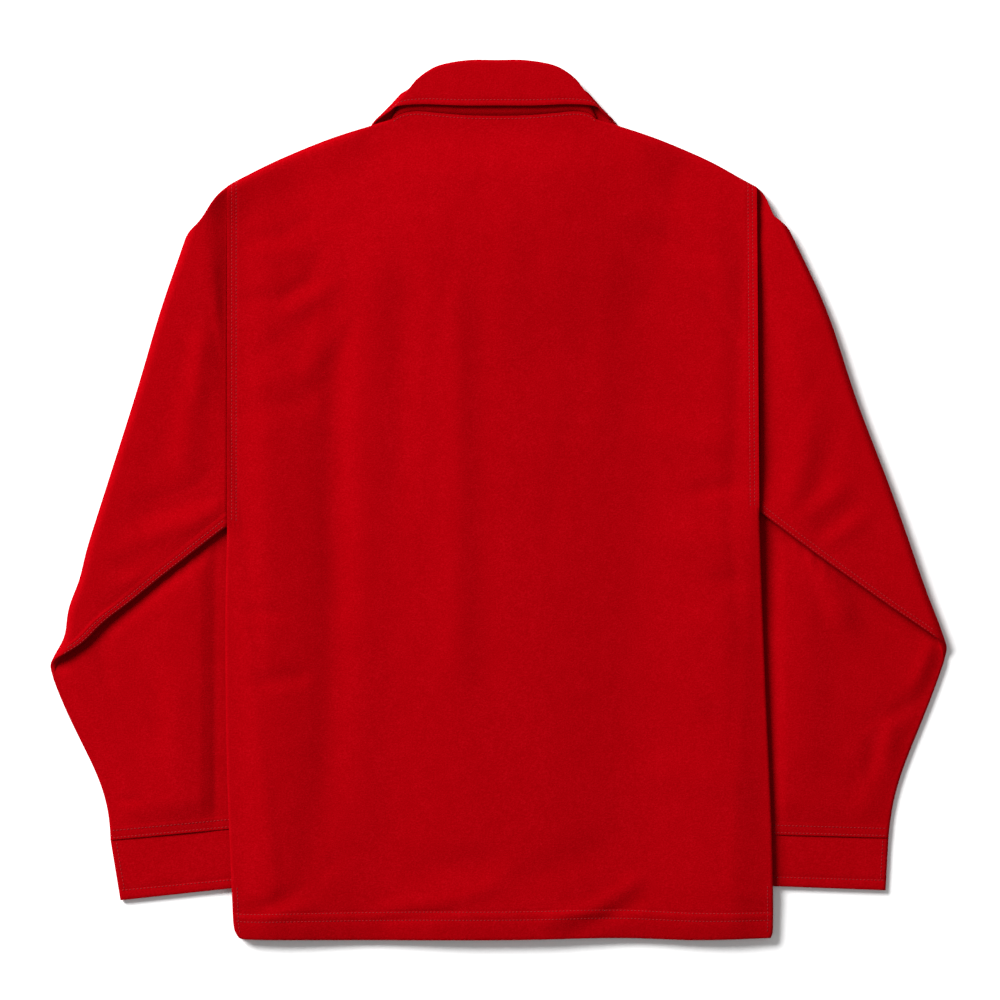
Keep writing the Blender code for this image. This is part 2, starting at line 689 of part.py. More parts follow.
def side_outline(points, sleeve):
    """A side of the body from the hem up, with the armhole's edge above the underarm."""
    gap = sleeve.inward * SEAM_GAP / 2
    under = EdgePoint(sleeve.underarm[0] + gap, sleeve.underarm[1])
    return joined(Outline([*points[:-1], under]), Outline([under, shoulder_tip(sleeve)]))


SIDES = (side_outline(LEFT_SIDE, SLEEVES[0]), side_outline(RIGHT_SIDE, SLEEVES[1]))


def panel_plan(share, up, top):
    """Plan places of a panel's grid. share runs across from the left side, and up from the hem."""
    hem = Outline(HEM).points
    hem_x = HEM[0].x + WIDTH * share
    ends = SIDES[0](1.0), SIDES[1](1.0)
    top_x = ends[0][0] + (ends[1][0] - ends[0][0]) * share
    low_y, high_y = np.interp(hem_x, *hem.T), np.interp(top_x, *top.T)
    x = hem_x + (top_x - hem_x) * up
    y = low_y + (high_y - low_y) * up
    for side, weight in zip(SIDES, (1 - smooth(share / 0.3), 1 - smooth((1 - share) / 0.3))):
        path = side(up)
        straight = side(0.0) + (side(1.0) - side(0.0)) * up[..., None]
        x = x + weight * (path - straight)[..., 0]
        y = y + weight * (path - straight)[..., 1]
    return x, y


def between(low, high, step):
    """Even places between two, neither included."""
    count = max(1, round((high - low) / step))
    return list(np.linspace(low, high, count + 1)[1:-1])


def top_share(x):
    low, high = SIDES[0](1.0)[0], SIDES[1](1.0)[0]
    return (x - low) / (high - low)


def corner_shares():
    """Shares across of the two corners where the shoulders meet the neck."""
    return [top_share(neck_place(COLLAR[NECK_CORNER], side).x) for side in (-1, 1)]


def panel_columns(panel):
    """Shares across of a panel's columns. Those of the fronts are also the back's."""
    side = np.array(SIDE_STEPS) / WIDTH
    middle = COLLAR[NECK_CORNER].middle
    neck = [top_share(middle + out) for n in NECK_COLUMNS for out in (n, -n)]
    marks = sorted([*side, *corner_shares(), *neck, *(1 - side)])
    columns = list(marks)
    for low, high in zip(marks, marks[1:]):
        columns += between(low, high, PANEL_STEP_X / WIDTH)
    columns = [c for c in columns if panel.start - 1e-9 <= c <= panel.end + 1e-9]
    if panel.side:
        edge, sign = (panel.end, -1) if panel.side < 0 else (panel.start, 1)
        steps = FOLD_STEPS if panel.side < 0 else FOLD_STEPS[:2]
        own = [edge + sign * step / WIDTH for step in steps]
        clear = 0.3 * PANEL_STEP_X / WIDTH
        columns = [c for c in columns if min(abs(c - o) for o in own) > clear] + own
    return np.unique(np.round(columns, 9))


def panel_rows():
    """Shares up from the hem of every panel's rows."""
    length = SIDES[0].length
    low = [step / length for step in HEM_STEPS]
    high = [1 - step / length for step in TOP_STEPS]
    return np.unique(low + between(low[-1], high[-1], PANEL_STEP_Y / length) + high)


def beside_armhole(sleeve, y):
    """1 beside a sleeve's armhole and 0 below the underarm."""
    return smooth((y - sleeve.underarm[1] + 6.0) / 12.0)


def crown(hem_x, y):
    """Share of the lap's height that the back has over the lapped fronts."""
    left = 1 - smooth((LAP_EDGE_RIGHT - 4 - hem_x) / BACK_RAMP)
    right = 1 - smooth((hem_x - LAP_EDGE_LEFT - 5) / BACK_RAMP)
    low, high = CROWN_TOP
    return left * right * (1 - smooth((y - low) / (high - low)))


def lap_share(hem_x):
    """Share of the lap's height that the right front has beside the left front's edge."""
    return 1 - smooth((hem_x - LAP_EDGE_LEFT - 2.0) / LAP_RAMP)


def make_panel(panel, wool):
    """A wall over the panel's grid, rounded into the side and shoulder seams."""
    share, up = np.meshgrid(panel_columns(panel), panel_rows())
    x, y = panel_plan(share, up, top_outline(panel))
    hem_x = HEM[0].x + WIDTH * share
    length = SIDES[0].length
    from_side = np.minimum(share, 1 - share) * WIDTH
    from_hem, from_top = up * length, (1 - up) * length
    armhole = np.where(share < 0.5, *(beside_armhole(s, y) for s in SLEEVES))
    corners = corner_shares()
    neck = (share > corners[0] - 1e-6) & (share < corners[1] + 1e-6)
    rounds = []
    for radius in (HALF, HALF - CLOTH):
        side = np.maximum(edge_round(from_side, radius), armhole)
        rounds.append(side * np.maximum(edge_round(from_top, radius), neck))
    outer = RIM + (HALF - RIM) * rounds[0]
    inner = SEAM_GAP / 2 + (HOLLOW - SEAM_GAP) / 2 * rounds[1]
    base = body_lift(x, y) + HALF
    stand = np.where(share < 0.5, *(np.interp(y, SIDE_STAND_AT, side) for side in SIDE_STAND))
    stand = stand * smooth(from_top / SIDE_STAND_WIDTH)
    base = base + stand * (1 - smooth(from_side / SIDE_STAND_WIDTH))
    if panel.side:
        if panel.side > 0:
            base = base + LAP_LIFT * lap_share(hem_x)
        upper, lower = base - inner, base - outer
        if panel.side < 0:
            from_edge = (panel.end - share) * WIDTH
            upper = upper + (LAP_PLIES - CLOTH) * band(from_edge, LAP_TURN)
    else:
        edge = np.minimum(np.minimum(from_side, from_top), from_hem + 20.0)
        drape = np.maximum(BACK_PUFF + fold_height(x, y, BACK_FOLDS), BACK_LEAST)
        base = base + LAP_LIFT * crown(hem_x, y) + drape * smooth(edge / PUFF_MARGIN)
        seam = ARMHOLE_RISE * band(from_side, ARMHOLE_BAND) * armhole
        upper = base + outer + seam + HEM_RISE * band(from_hem, HEM_BAND) * rounds[0]
        lower = base + inner
    upper[0] -= HEM_ROUND
    return paint(panel_solid(panel.name, x, y, upper, lower), wool)


def panel_solid(name, x, y, upper, lower):
    top = np.stack([x, y, upper], -1)
    bottom = np.stack([x, y, lower], -1)
    return as_mesh(name, np.concatenate([top, bottom[:, ::-1]], axis=1), False)


# Collar


def collar_stations():
    """Lean, roll, fold, edge and neck of each station round the neck, from left to right."""
    last = len(COLLAR) - 1
    half = [k / 2 for k in range(2 * COLLAR_FINE)] + list(range(COLLAR_FINE, last + 1))
    places = np.array([last - k for k in half[:0:-1]] + [last + k for k in half])
    values = along([[s.lean, s.roll] for s in COLLAR[:0:-1] + COLLAR], places)
    curves = []
    for part in ("fold", "edge", "neck"):
        rows = []
        for side, sections in ((-1, COLLAR[:0:-1]), (1, COLLAR)):
            for s in sections:
                place = getattr(s, part)
                rows.append((s.middle + side * place.out, place.y, place.z))
        curves.append(along(rows, places))
    sides = np.sign(places - last)
    return np.radians(np.clip(values[:, 0], 0, 180)), values[:, 1], curves, sides


def unit(v):
    return v / np.linalg.norm(v, axis=-1, keepdims=True)


def collar_lines():
    """Middle lines of the cloth at each station: the fall with its roll, and the stand."""
    leans, rolls, (folds, edges, necks), sides = collar_stations()
    falls, stands, fall_offsets, stand_offsets = [], [], [], []
    for lean, roll, fold, edge, neck, side in zip(leans, rolls, folds, edges, necks, sides):
        neck = neck + np.array([0, 0, collar_lap(neck)])
        run = unit((edge - fold) * (1, 1, 0))
        outward = side * np.array([-run[1], run[0], 0])
        normal = math.cos(lean) * np.array([0, 0, 1.0]) + math.sin(lean) * outward
        inward = unit(edge - fold) + unit(neck - fold)
        inward = unit(inward - normal * (inward @ normal))
        centre = fold + inward * (roll + FALL_CLOTH / 2)
        angles = np.linspace(0, math.pi, COLLAR_TURNS + 1)[:, None]
        around = np.cos(angles) * normal - np.sin(angles) * inward
        turns = centre + roll * around
        steps = np.array(FALL_STEPS)[:, None]
        falls.append(np.vstack([edge + (turns[0] - edge) * steps, turns]))
        start = turns[-1] + unit(neck - turns[-1]) * COLLAR_SEAM
        stands.append(start + (neck - start) * np.linspace(0, 1, STAND_DOWN + 1)[:, None])
        binormal = np.cross(inward, normal)
        flat = [unit(np.cross(turns[0] - edge, binormal))] * len(steps)
        fall_offsets.append(np.vstack([flat, around]))
        stand_offsets.append([unit(np.cross(binormal, neck - start))] * (STAND_DOWN + 1))
    return (np.array(falls), np.array(fall_offsets)), (np.array(stands), np.array(stand_offsets))


def collar_lap(place):
    """The right half of the collar follows its front over the left front's lap."""
    hem_x = place[0] + COLLAR_SLANT
    if hem_x < LAP_EDGE_RIGHT or place[1] > 345 or place[0] < COLLAR[-1].middle:
        return 0.0
    return float(LAP_LIFT * lap_share(hem_x))


def wall_from_lines(name, lines, offsets, thick, wool):
    """A wall round the middle lines of its stations, a little thinner at its first edge."""
    reach = offsets * thick / 2
    reach[:, 0] *= EDGE_THIN
    faces = lines + reach, lines - reach
    return paint(as_mesh(name, np.concatenate([faces[0], faces[1][:, ::-1]], axis=1), False), wool)


def make_collar(wool):
    fall, stand = collar_lines()
    wall_from_lines("collar_fall", *fall, FALL_CLOTH, wool)
    wall_from_lines("collar_stand", *stand, STAND_CLOTH, wool)


# Buttons


def button_places():
    """Down the middle of the lap, which slants as the jacket lies."""
    places = []
    for k in range(BUTTON_COUNT):
        y = BUTTON_TOP - k * BUTTON_SPACING
        places.append((BUTTON_HEM_X - COLLAR_SLANT * (y + HALF_LENGTH) / (2 * HALF_LENGTH), y))
    return places


def make_button(number, place, horn):
    """A flat disc with bevelled rims, whose face is level with the cloth that it sinks into."""
    x, y = place
    low = float(body_lift(np.array(x), np.array(y)))
    bm = bmesh.new()
    bmesh.ops.create_cone(
        bm,
        cap_ends=True,
        segments=BUTTON_SIDES,
        radius1=BUTTON_RADIUS * MM,
        radius2=BUTTON_RADIUS * MM,
        depth=BUTTON_THICK * MM,
    )
    rims = [e for e in bm.edges if abs(e.verts[0].co.z - e.verts[1].co.z) < 1e-6]
    bmesh.ops.bevel(bm, geom=rims, offset=BUTTON_BEVEL * MM, segments=1, affect="EDGES")
    mesh = bpy.data.meshes.new(f"button_{number}")
    bm.to_mesh(mesh)
    bm.free()
    obj = bpy.data.objects.new(f"button_{number}", mesh)
    obj.location = (x * MM, y * MM, (low + BUTTON_THICK / 2) * MM)
    bpy.context.scene.collection.objects.link(obj)
    return paint(obj, horn)


def cut_seat(panel, number, place):
    """Presses the button's round seat into the underside of the left front."""
    x, y = place
    low = float(body_lift(np.array(x), np.array(y)))
    depth = BUTTON_SEAT + 4.0
    bpy.ops.mesh.primitive_cylinder_add(
        vertices=BUTTON_SIDES,
        radius=(BUTTON_RADIUS + BUTTON_CLEAR) * MM,
        depth=depth * MM,
        location=(x * MM, y * MM, (low + BUTTON_SEAT - depth / 2) * MM),
    )
    cutter = bpy.context.object
    cutter.name = f"seat_cutter_{number}"
    cutter.hide_render = True
    cutter.display_type = "WIRE"
    cut = panel.modifiers.new(f"seat_{number}", "BOOLEAN")
    cut.operation = "DIFFERENCE"
    cut.solver = "EXACT"
    cut.object = cutter


def main():
    for obj in list(bpy.data.objects):
        bpy.data.objects.remove(obj)
    wool = material("red wool", (0.45, 0.005, 0.012), 0.95)
    horn = material("red horn button", (0.30, 0.01, 0.015), 0.4)
    made = {panel.name: make_panel(panel, wool) for panel in PANELS}
    for sleeve in SLEEVES:
        make_sleeve(sleeve, wool)
        make_cuff(sleeve, wool)
    make_collar(wool)
    for number, place in enumerate(button_places(), 1):
        make_button(number, place, horn)
        cut_seat(made["front_left"], number, place)


main()
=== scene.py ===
"""The red wool mackinaw jacket of the CAD model, dressed for its photograph.

Each piece of cloth is a thin shell on its solid's form, with finer creases, stitched seams and
a procedural wool. Lengths are in millimetres, and shell turns them into metres.
"""

import json
import math
from collections import namedtuple

import bpy
import numpy as np
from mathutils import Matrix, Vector
from mathutils.bvhtree import BVHTree

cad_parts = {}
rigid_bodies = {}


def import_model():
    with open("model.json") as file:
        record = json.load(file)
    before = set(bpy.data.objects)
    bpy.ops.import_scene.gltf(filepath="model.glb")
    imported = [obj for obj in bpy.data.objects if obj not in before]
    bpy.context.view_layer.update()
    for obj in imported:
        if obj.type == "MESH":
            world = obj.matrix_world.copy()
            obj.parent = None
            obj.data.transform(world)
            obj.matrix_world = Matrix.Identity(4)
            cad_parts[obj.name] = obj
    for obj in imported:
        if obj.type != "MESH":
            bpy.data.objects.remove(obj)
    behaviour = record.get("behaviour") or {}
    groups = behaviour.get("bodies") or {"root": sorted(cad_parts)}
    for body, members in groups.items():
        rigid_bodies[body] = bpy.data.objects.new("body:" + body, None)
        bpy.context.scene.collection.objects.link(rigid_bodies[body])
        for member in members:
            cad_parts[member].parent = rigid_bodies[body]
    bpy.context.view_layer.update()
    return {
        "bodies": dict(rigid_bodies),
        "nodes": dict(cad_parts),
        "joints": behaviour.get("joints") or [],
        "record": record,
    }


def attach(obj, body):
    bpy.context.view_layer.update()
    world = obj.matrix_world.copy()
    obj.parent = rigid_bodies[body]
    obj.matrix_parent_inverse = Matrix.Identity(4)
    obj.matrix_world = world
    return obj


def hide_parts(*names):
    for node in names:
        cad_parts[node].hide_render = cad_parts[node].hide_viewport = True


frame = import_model()

MM = 0.001

# Cloth
CLOTH = 2.2  # wall of the wool
HOLLOW = 1.0  # air between the two walls of a flattened tube
HALF = CLOTH + HOLLOW / 2  # half the thickness of a flattened tube
SEAM_GAP = 0.3  # between two pieces at a seam
SEAM_RISE = 0.6  # a felled seam stands this far out of the cloth
ARMHOLE_RISE = 0.9  # the armhole's seam has more plies
ARMHOLE_FADE = 22.0  # and is pressed flat towards the body over this width
SHOULDER_RISE = 2.6  # the back's cloth rises to its shoulder seam
SHOULDER_START = 5.0  # over this width from the seam
SHOULDER_FADE = 44.0  # and comes down again by this far from it
NECK_CLEAR = 12.0  # the rise begins this far from the neck
NECK_RAMP = 40.0  # and is whole after this width
RIM = 0.9  # height of a wall's edge where it rounds into a side seam
BEVEL_STEP = 1.0  # run of the small slope at the border of a raised band

# Overall
HALF_WIDTH = 425.6
HALF_LENGTH = 417.5

# Sleeve fold
ROLL = 4.6  # radius of the sleeve's fold, to the middle of its two walls
FOLD_DEPTH = ROLL + HALF  # from the silhouette to where the sleeve is flat again
TOP_TURN = 18.0  # the sleeve's top line goes round the fold over twice this length
ELBOW_TURN = 12.0  # and its underarm line over twice this one
ARMHOLE_HOLD = 36.0  # the armhole's line stays straight, and bulges begin over this width
HEAD_DROP = 6.2  # below the shoulder, the sleeve comes down to the armhole's seam by this much
HEAD_DROP_WIDTH = 22.0
HEAD_DROP_LENGTH = 60.0
BULGE_DEPTH = 90.0  # the bulges of the fold's line have ended this far inside it
FOREARM_BOW = 8.0  # the forearm's inner edge bows in this far below the body
WRIST_EVEN = 140.0  # a forearm's sections turn level with its cuff over this length
LIFT = 2 * HALF + SEAM_RISE + SEAM_GAP  # height of whatever lies on a forearm
LIFT_FULL = 8.0  # the lift stays whole this far outside what lies below
LIFT_END = 48.0  # and has ended this far outside it
ROLL_FADE = 48.0  # the sleeve comes down from its fold to its rest over this width
UNDERARM_BAND = 13.0  # width of the felled seam along the underarm
CUFF_SEAM_BAND = 12.0  # width of the felled seam at the cuff
UNDERARM_RISE = {"left": 0.4, "right": 3.6}  # the free underarm edge stands off the forearm
UNDERARM_FADE = 46.0  # and comes down to it over this width
CALM_EDGE = 30.0  # a sleeve's bulges begin over this width from its long edges

Sleeve = namedtuple(
    "Sleeve",
    "name inward shoulder fold_top elbow underarm wrist_in wrist_out cuff_in cuff_out"
    " crown bow waist bulges",
)
Bulge = namedtuple("Bulge", "at out half_width")  # shares of the fold's length, and mm

SLEEVES = (
    Sleeve(
        name="left",
        inward=1,
        shoulder=(-257.0, 297.8),
        fold_top=(-295.9, 249.4),
        elbow=(-HALF_WIDTH, -156.3),
        underarm=(-257.0, -25.2),
        wrist_in=(-226.0, -309.7),
        wrist_out=(-368.0, -323.2),
        cuff_in=(-220.3, -365.1),
        cuff_out=(-358.6, -380.0),
        crown=4.3,
        bow=0.0,
        waist=8.8,
        bulges=(Bulge(0.17, 2.0, 0.14), Bulge(0.80, -2.2, 0.05), Bulge(0.93, -5.0, 0.045)),
    ),
    Sleeve(
        name="right",
        inward=-1,
        shoulder=(245.6, 296.9),
        fold_top=(275.0, 255.1),
        elbow=(HALF_WIDTH, -140.1),
        underarm=(247.8, -11.0),
        wrist_in=(230.6, -317.0),
        wrist_out=(370.8, -321.0),
        cuff_in=(228.5, -365.4),
        cuff_out=(368.1, -370.5),
        crown=4.0,
        bow=3.0,
        waist=6.6,
        bulges=(Bulge(0.20, 7.4, 0.18), Bulge(0.60, 4.0, 0.24), Bulge(0.95, 1.0, 0.06)),
    ),
)

# Body outline, from the hem up
EdgePoint = namedtuple("EdgePoint", "x y")
LEFT_SIDE = (
    EdgePoint(-247.5, -413.5),
    EdgePoint(-251.0, -403.0),
    EdgePoint(-252.7, -366.0),
    EdgePoint(-257.2, -250.0),
    EdgePoint(-258.6, -120.0),
    EdgePoint(-257.0, -25.2),
)
RIGHT_SIDE = (
    EdgePoint(259.0, -415.5),
    EdgePoint(261.0, -400.0),
    EdgePoint(259.6, -310.0),
    EdgePoint(253.6, -170.0),
    EdgePoint(247.8, -11.0),
)
HEM = (
    EdgePoint(-247.5, -413.5),
    EdgePoint(-238.0, -416.9),
    EdgePoint(-180.0, -HALF_LENGTH),
    EdgePoint(0.0, -HALF_LENGTH),
    EdgePoint(110.0, -415.6),
    EdgePoint(190.0, -HALF_LENGTH),
    EdgePoint(259.0, -415.5),
)
LEFT_SHOULDER = (
    EdgePoint(-257.0, 297.8),
    EdgePoint(-245.6, 304.3),
    EdgePoint(-207.6, 323.3),
    EdgePoint(-162.0, 342.0),
    EdgePoint(-120.2, 355.4),
)
RIGHT_SHOULDER = (
    EdgePoint(113.5, 355.4),
    EdgePoint(153.4, 342.0),
    EdgePoint(198.0, 323.0),
    EdgePoint(232.3, 304.0),
    EdgePoint(245.6, 296.9),
)
# The body's left and right sides stand this far off what they lie on, at two heights
SIDE_STAND = ((1.2, 1.2), (0.8, 4.6))
SIDE_STAND_AT = (-120.0, -20.0)
SIDE_STAND_WIDTH = 34.0
SIDE_SHARE = 0.3  # a side's curve has ended this share of the width inside it
UNDERARM_STEP = 12.0  # the armhole's seam ends over this height at the underarm
BACK_SPAN = 120.0  # the back comes down from what lifts it over this width
HEM_BAND = 25.0  # depth of the turned-up hem
HEM_RISE = 0.45
HEM_ROUND = 0.5
HEM_ROUND_WIDTH = 1.6

# Front closing
LAP_EDGE_LEFT = 32.0  # at the hem, the left front laps over the right one as far as this
LAP_EDGE_RIGHT = -18.0  # the right front's edge at the hem, inside the left one
LAP_PLIES = 3.6  # the left front's turned edge is two plies thick
LAP_TURN = 60.0  # width of that turned edge
LAP_LIFT = LAP_PLIES + 1.0
LAP_OVER = 2.0  # the right front keeps the lap's height this far past the left front's edge
LAP_RAMP = 38.0  # and comes down to the surface over this width
CROWN_OVER = (4.0, 5.0)  # the back keeps it this far past the lap's left and right edges
BACK_RAMP = 120.0  # and comes down over this width
CROWN_TOP = (305.0, 355.0)  # the lap's lift of the back ends between these heights

# Buttons
BUTTON_RADIUS = 11.0
BUTTON_SEAT = 2.6  # depth that a button sinks into the turned edge below the jacket's weight
BUTTON_CLEAR = 0.3
SEAT_EDGE = 0.4  # the seat keeps its depth this far beyond its wall in the solid
SEAT_SLOPE = 4.0
SEAT_SPARE = 0.1
BUTTON_HEM_X = 8.0
BUTTON_TOP = 258.0
BUTTON_SPACING = 115.0
BUTTON_COUNT = 6

# Collar
FALL_CLOTH = 2.6
STAND_CLOTH = 2.2
STAND_SEAM = 0.1  # between the stand and the neck edge of the panels
COLLAR_SEAM = 1.5  # between the fall's roll and the stand
EDGE_THIN = 0.7  # share of its thickness that the cloth has at a free edge
EDGE_THIN_WIDTH = 2.0
FALL_LIFT = FALL_CLOTH + 0.7
COLLAR_LAP_TOP = 345.0  # above this height the collar is level again past the lap
COLLAR_SLANT = 13.0  # the jacket's middle leans this far to the left from its hem to its neck
NECK_CORNER = 6  # the row of COLLAR at the shoulder seam

# lean is how far the fold has turned from the back, through the shoulder, to the front, roll is
# the radius of the fold to the middle of the cloth, and out is the distance from the middle
CollarSection = namedtuple("CollarSection", "middle lean roll fold edge neck")
Place = namedtuple("Place", "out y z")
COLLAR = (
    CollarSection(-1.2, 0, 2.0, Place(0, 417.5, 9.6), Place(0, 374, 12.0), Place(0, 364.5, 7.6)),
    CollarSection(-1.2, 0, 2.0, Place(28, 417.3, 9.6), Place(35, 374, 12), Place(28, 365, 7.6)),
    CollarSection(-1.2, 0, 2.0, Place(56, 412, 9.6), Place(70, 375.2, 12), Place(54, 367, 7.6)),
    CollarSection(-1.5, 8, 2, Place(74, 400.5, 9.4), Place(93, 373.5, 11.6), Place(73, 368.8, 7.6)),
    CollarSection(-2, 30, 1.9, Place(81, 390.5, 8.4), Place(101, 368, 9.8), Place(86, 367.6, 7.4)),
    CollarSection(-3, 70, 1.7, Place(86, 385, 6.6), Place(108, 363, 7.4), Place(92.6, 364.6, 6.6)),
    CollarSection(-3.5, 110, 1.6, Place(87, 380, 5), Place(113.5, 359, 3.8), Place(96, 361.6, 5.4)),
    CollarSection(-3.5, 150, 1.55, Place(87, 373, 3.6), Place(117, 353, 1.5), Place(93.7, 355, 4.7)),
    CollarSection(-3.5, 180, 1.55, Place(83, 362, 2.85), Place(116, 335, 1.34), Place(90, 345, 4.4)),
    CollarSection(-3.5, 180, 1.55, Place(74, 349, 2.85), Place(107, 305, 1.3), Place(75, 331, 4.4)),
    CollarSection(-3.5, 180, 1.55, Place(46, 325, 2.85), Place(86, 268, 1.3), Place(48, 309, 4.4)),
    CollarSection(-3.5, 180, 1.55, Place(5, 303, 2.85), Place(60, 243, 1.3), Place(4, 289, 4.4)),
)
COLLAR_GROUND = (
    (-72, 240),
    (64, 240),
    (112, 302),
    (120, 345),
    (117, 362),
    (60, 390),
    (-66, 390),
    (-124, 362),
    (-127, 345),
    (-119, 302),
)

# Largest folds of the back: soft ridges (height above 0) and troughs (below 0)
Fold = namedtuple("Fold", "x0 y0 x1 y1 half_width height")
BACK_PUFF = 3.6  # the back's cloth stands this far off the fronts, away from its edges
BACK_LEAST = 0.6  # and at least this far in a trough
PUFF_MARGIN = 42.0  # the back comes down to its sides over this width
HEM_PUFF = 20.0  # and to the hem as if that were this much lower
TOP_MARGIN = 110.0  # and to its top over this one
BACK_FOLDS = (
    Fold(-218, 71, -215, -119, 38, 1.6),
    Fold(-215, -185, -218, -309, 34, 1.2),
    Fold(-152, 157, -156, 52, 14, -2.2),
    Fold(-156, 52, -154, -100, 16, -2.6),
    Fold(-154, -100, -162, -252, 17, -1.9),
    Fold(-162, -252, -179, -347, 18, -1.3),
    Fold(-120, 204, -129, 71, 20, 1.9),
    Fold(-129, 71, -129, -119, 22, 2.1),
    Fold(-129, -119, -127, -290, 20, 1.4),
    Fold(-89, 185, -93, 14, 14, -1.1),
    Fold(-68, 233, -42, 157, 14, 0.9),
    Fold(-40, 185, -37, 33, 14, 1.5),
    Fold(-37, 33, -40, -147, 16, 1.5),
    Fold(-15, 138, -17, -24, 15, -0.6),
    Fold(-17, -24, -8, -157, 16, -0.7),
    Fold(8, 276, 6, 157, 16, 0.7),
    Fold(36, 242, 41, 71, 15, -0.4),
    Fold(103, 204, 99, 90, 16, 0.8),
    Fold(65, 62, 50, -24, 14, -0.6),
    Fold(-239, 248, -209, 250, 8, -1.3),
    Fold(-209, 250, -182, 265, 8, -1.2),
    Fold(-182, 265, -149, 265, 9, -0.7),
    Fold(-234, 235, -197, 236, 9, 0.9),
    Fold(-234, 191, -205, 191, 8, -1.3),
    Fold(-205, 191, -180, 207, 8, -1.4),
    Fold(-180, 207, -171, 229, 8, -0.8),
    Fold(-186, 185, -162, 200, 9, 0.9),
    Fold(-234, 105, -182, 123, 13, 1.3),
    Fold(-182, 123, -146, 168, 13, 1.6),
    Fold(-146, 168, -129, 199, 11, 1.0),
    Fold(-236, 85, -182, 94, 12, -1.0),
    Fold(-218, 143, -182, 168, 11, -0.9),
    Fold(-218, -86, -211, -142, 14, 1.4),
    Fold(-234, -105, -213, -107, 6, -1.0),
    Fold(-218, -172, -192, -168, 9, -1.3),
    Fold(-192, -168, -162, -164, 10, -0.9),
    Fold(-218, -385, -192, -372, 9, -1.2),
    Fold(-192, -372, -163, -347, 10, -1.1),
    Fold(-228, -397, -182, -386, 7, 0.9),
    Fold(-59, -349, -21, -345, 15, -1.5),
    Fold(41, -354, 84, -337, 17, -1.3),
    Fold(-97, -386, -49, -381, 7, 1.0),
    Fold(-49, -381, -13, -370, 7, 1.0),
    Fold(-102, -398, -45, -390, 6, -0.7),
    Fold(57, -397, 95, -386, 8, 1.7),
    Fold(95, -386, 125, -366, 8, 1.6),
    Fold(76, -410, 126, -385, 8, -1.2),
    Fold(141, 271, 188, 261, 12, 1.1),
    Fold(188, 261, 217, 221, 12, 1.3),
    Fold(150, 250, 188, 237, 12, -0.9),
    Fold(203, 183, 224, 159, 7, -1.6),
    Fold(213, 187, 234, 166, 7, 0.9),
    Fold(167, 62, 238, 52, 18, 1.7),
    Fold(198, 10, 241, 15, 9, -1.7),
    Fold(188, -38, 231, -48, 18, 1.5),
    Fold(218, -77, 247, -85, 8, -1.7),
    Fold(198, -119, 236, -138, 16, 1.1),
    Fold(209, -206, 247, -235, 10, -1.3),
    Fold(160, -259, 240, -269, 18, 1.1),
    Fold(93, 337, 179, 311, 14, -1.3),
)
SLEEVE_FOLDS = {
    "left": (
        Fold(-275, 221, -256, 147, 9, 1.6),
        Fold(-283, 142, -285, 109, 12, 2.8),
        Fold(-293, 90, -296, 52, 14, 2.2),
        Fold(-355, -12, -311, -3, 12, -1.7),
        Fold(-311, -3, -266, 16, 12, -1.7),
        Fold(-369, -48, -325, -33, 11, 1.3),
        Fold(-325, -33, -266, -12, 11, 1.7),
        Fold(-382, -50, -361, -62, 6, -1.1),
        Fold(-395, -96, -368, -102, 5, -1.1),
        Fold(-377, -81, -344, -76, 8, 0.8),
        Fold(-363, 24, -334, 38, 12, -0.8),
    ),
    "right": (
        Fold(274, 242, 277, 200, 13, -1.6),
        Fold(277, 171, 287, 124, 13, 1.5),
        Fold(283, 16, 293, 62, 12, 1.5),
        Fold(293, 62, 307, 95, 12, 1.2),
        Fold(304, 14, 323, 62, 11, -1.2),
        Fold(296, -12, 327, 12, 9, 1.5),
        Fold(312, -29, 340, -5, 8, -1.2),
        Fold(321, -33, 348, -18, 9, 1.5),
        Fold(355, 71, 369, -43, 20, -1.2),
    ),
}
FOREARM_FOLDS = {
    "left": (
        Fold(-300, -100, -304, -195, 30, 1.8),
        Fold(-304, -195, -300, -301, 30, 3.0),
        Fold(-377, -138, -372, -168, 9, -0.8),
        Fold(-325, -176, -323, -214, 11, -0.9),
        Fold(-369, -284, -348, -285, 5, -1.0),
    ),
    "right": (
        Fold(293, -76, 289, -233, 22, 2.2),
        Fold(298, -48, 323, -100, 15, 4.6),
        Fold(412, -138, 402, -164, 9, 1.4),
        Fold(369, -219, 384, -276, 13, 1.5),
        Fold(353, -254, 365, -207, 10, -1.6),
        Fold(365, -207, 407, -189, 10, -1.8),
        Fold(340, -271, 346, -259, 12, -0.8),
    ),
}
BODY_OVER = 9.0  # the forearm's top is flat this far outside the underarm, below the body's side
SLEEVE_PUFF = {"left": 1.2, "right": 2.2}  # the upper wall stands this far off the lower one
FOREARM_PUFF = 2.4
PUFF_CLEAR = 2.0  # the forearm's bulge begins this far outside what covers it
FOREARM_MARGIN = 16.0  # and is whole after this width
FOLD_CLEAR = 1.0  # the same for its folds
FOREARM_FOLD_MARGIN = 7.0
ARMHOLE_SINK = {"left": 0.0, "right": 2.8}  # the sleeve lies this much lower at its armhole
SINK_FLAT = 9.0  # over this width
SINK_WIDTH = 42.0  # and rises again over this one
SINK_ENDS = 48.0  # towards the armhole's two ends the dip ends over this length
WRIST_FLAT = 0.12  # share of a forearm's bulge that is left at the cuff's seam
WRIST_FADE = 34.0  # the bulge is whole this far above it
FOLD_ENDS = 1.8  # a fold fades over this many half widths beyond its ends
FOLD_HOLD = 12.0  # a sleeve's folds begin this far from its armhole

# A sheet's cut in metres and square metres, all round where it is a tube. No sheet here is given
# one.
Cut = namedtuple("Cut", "flat area rests_on")

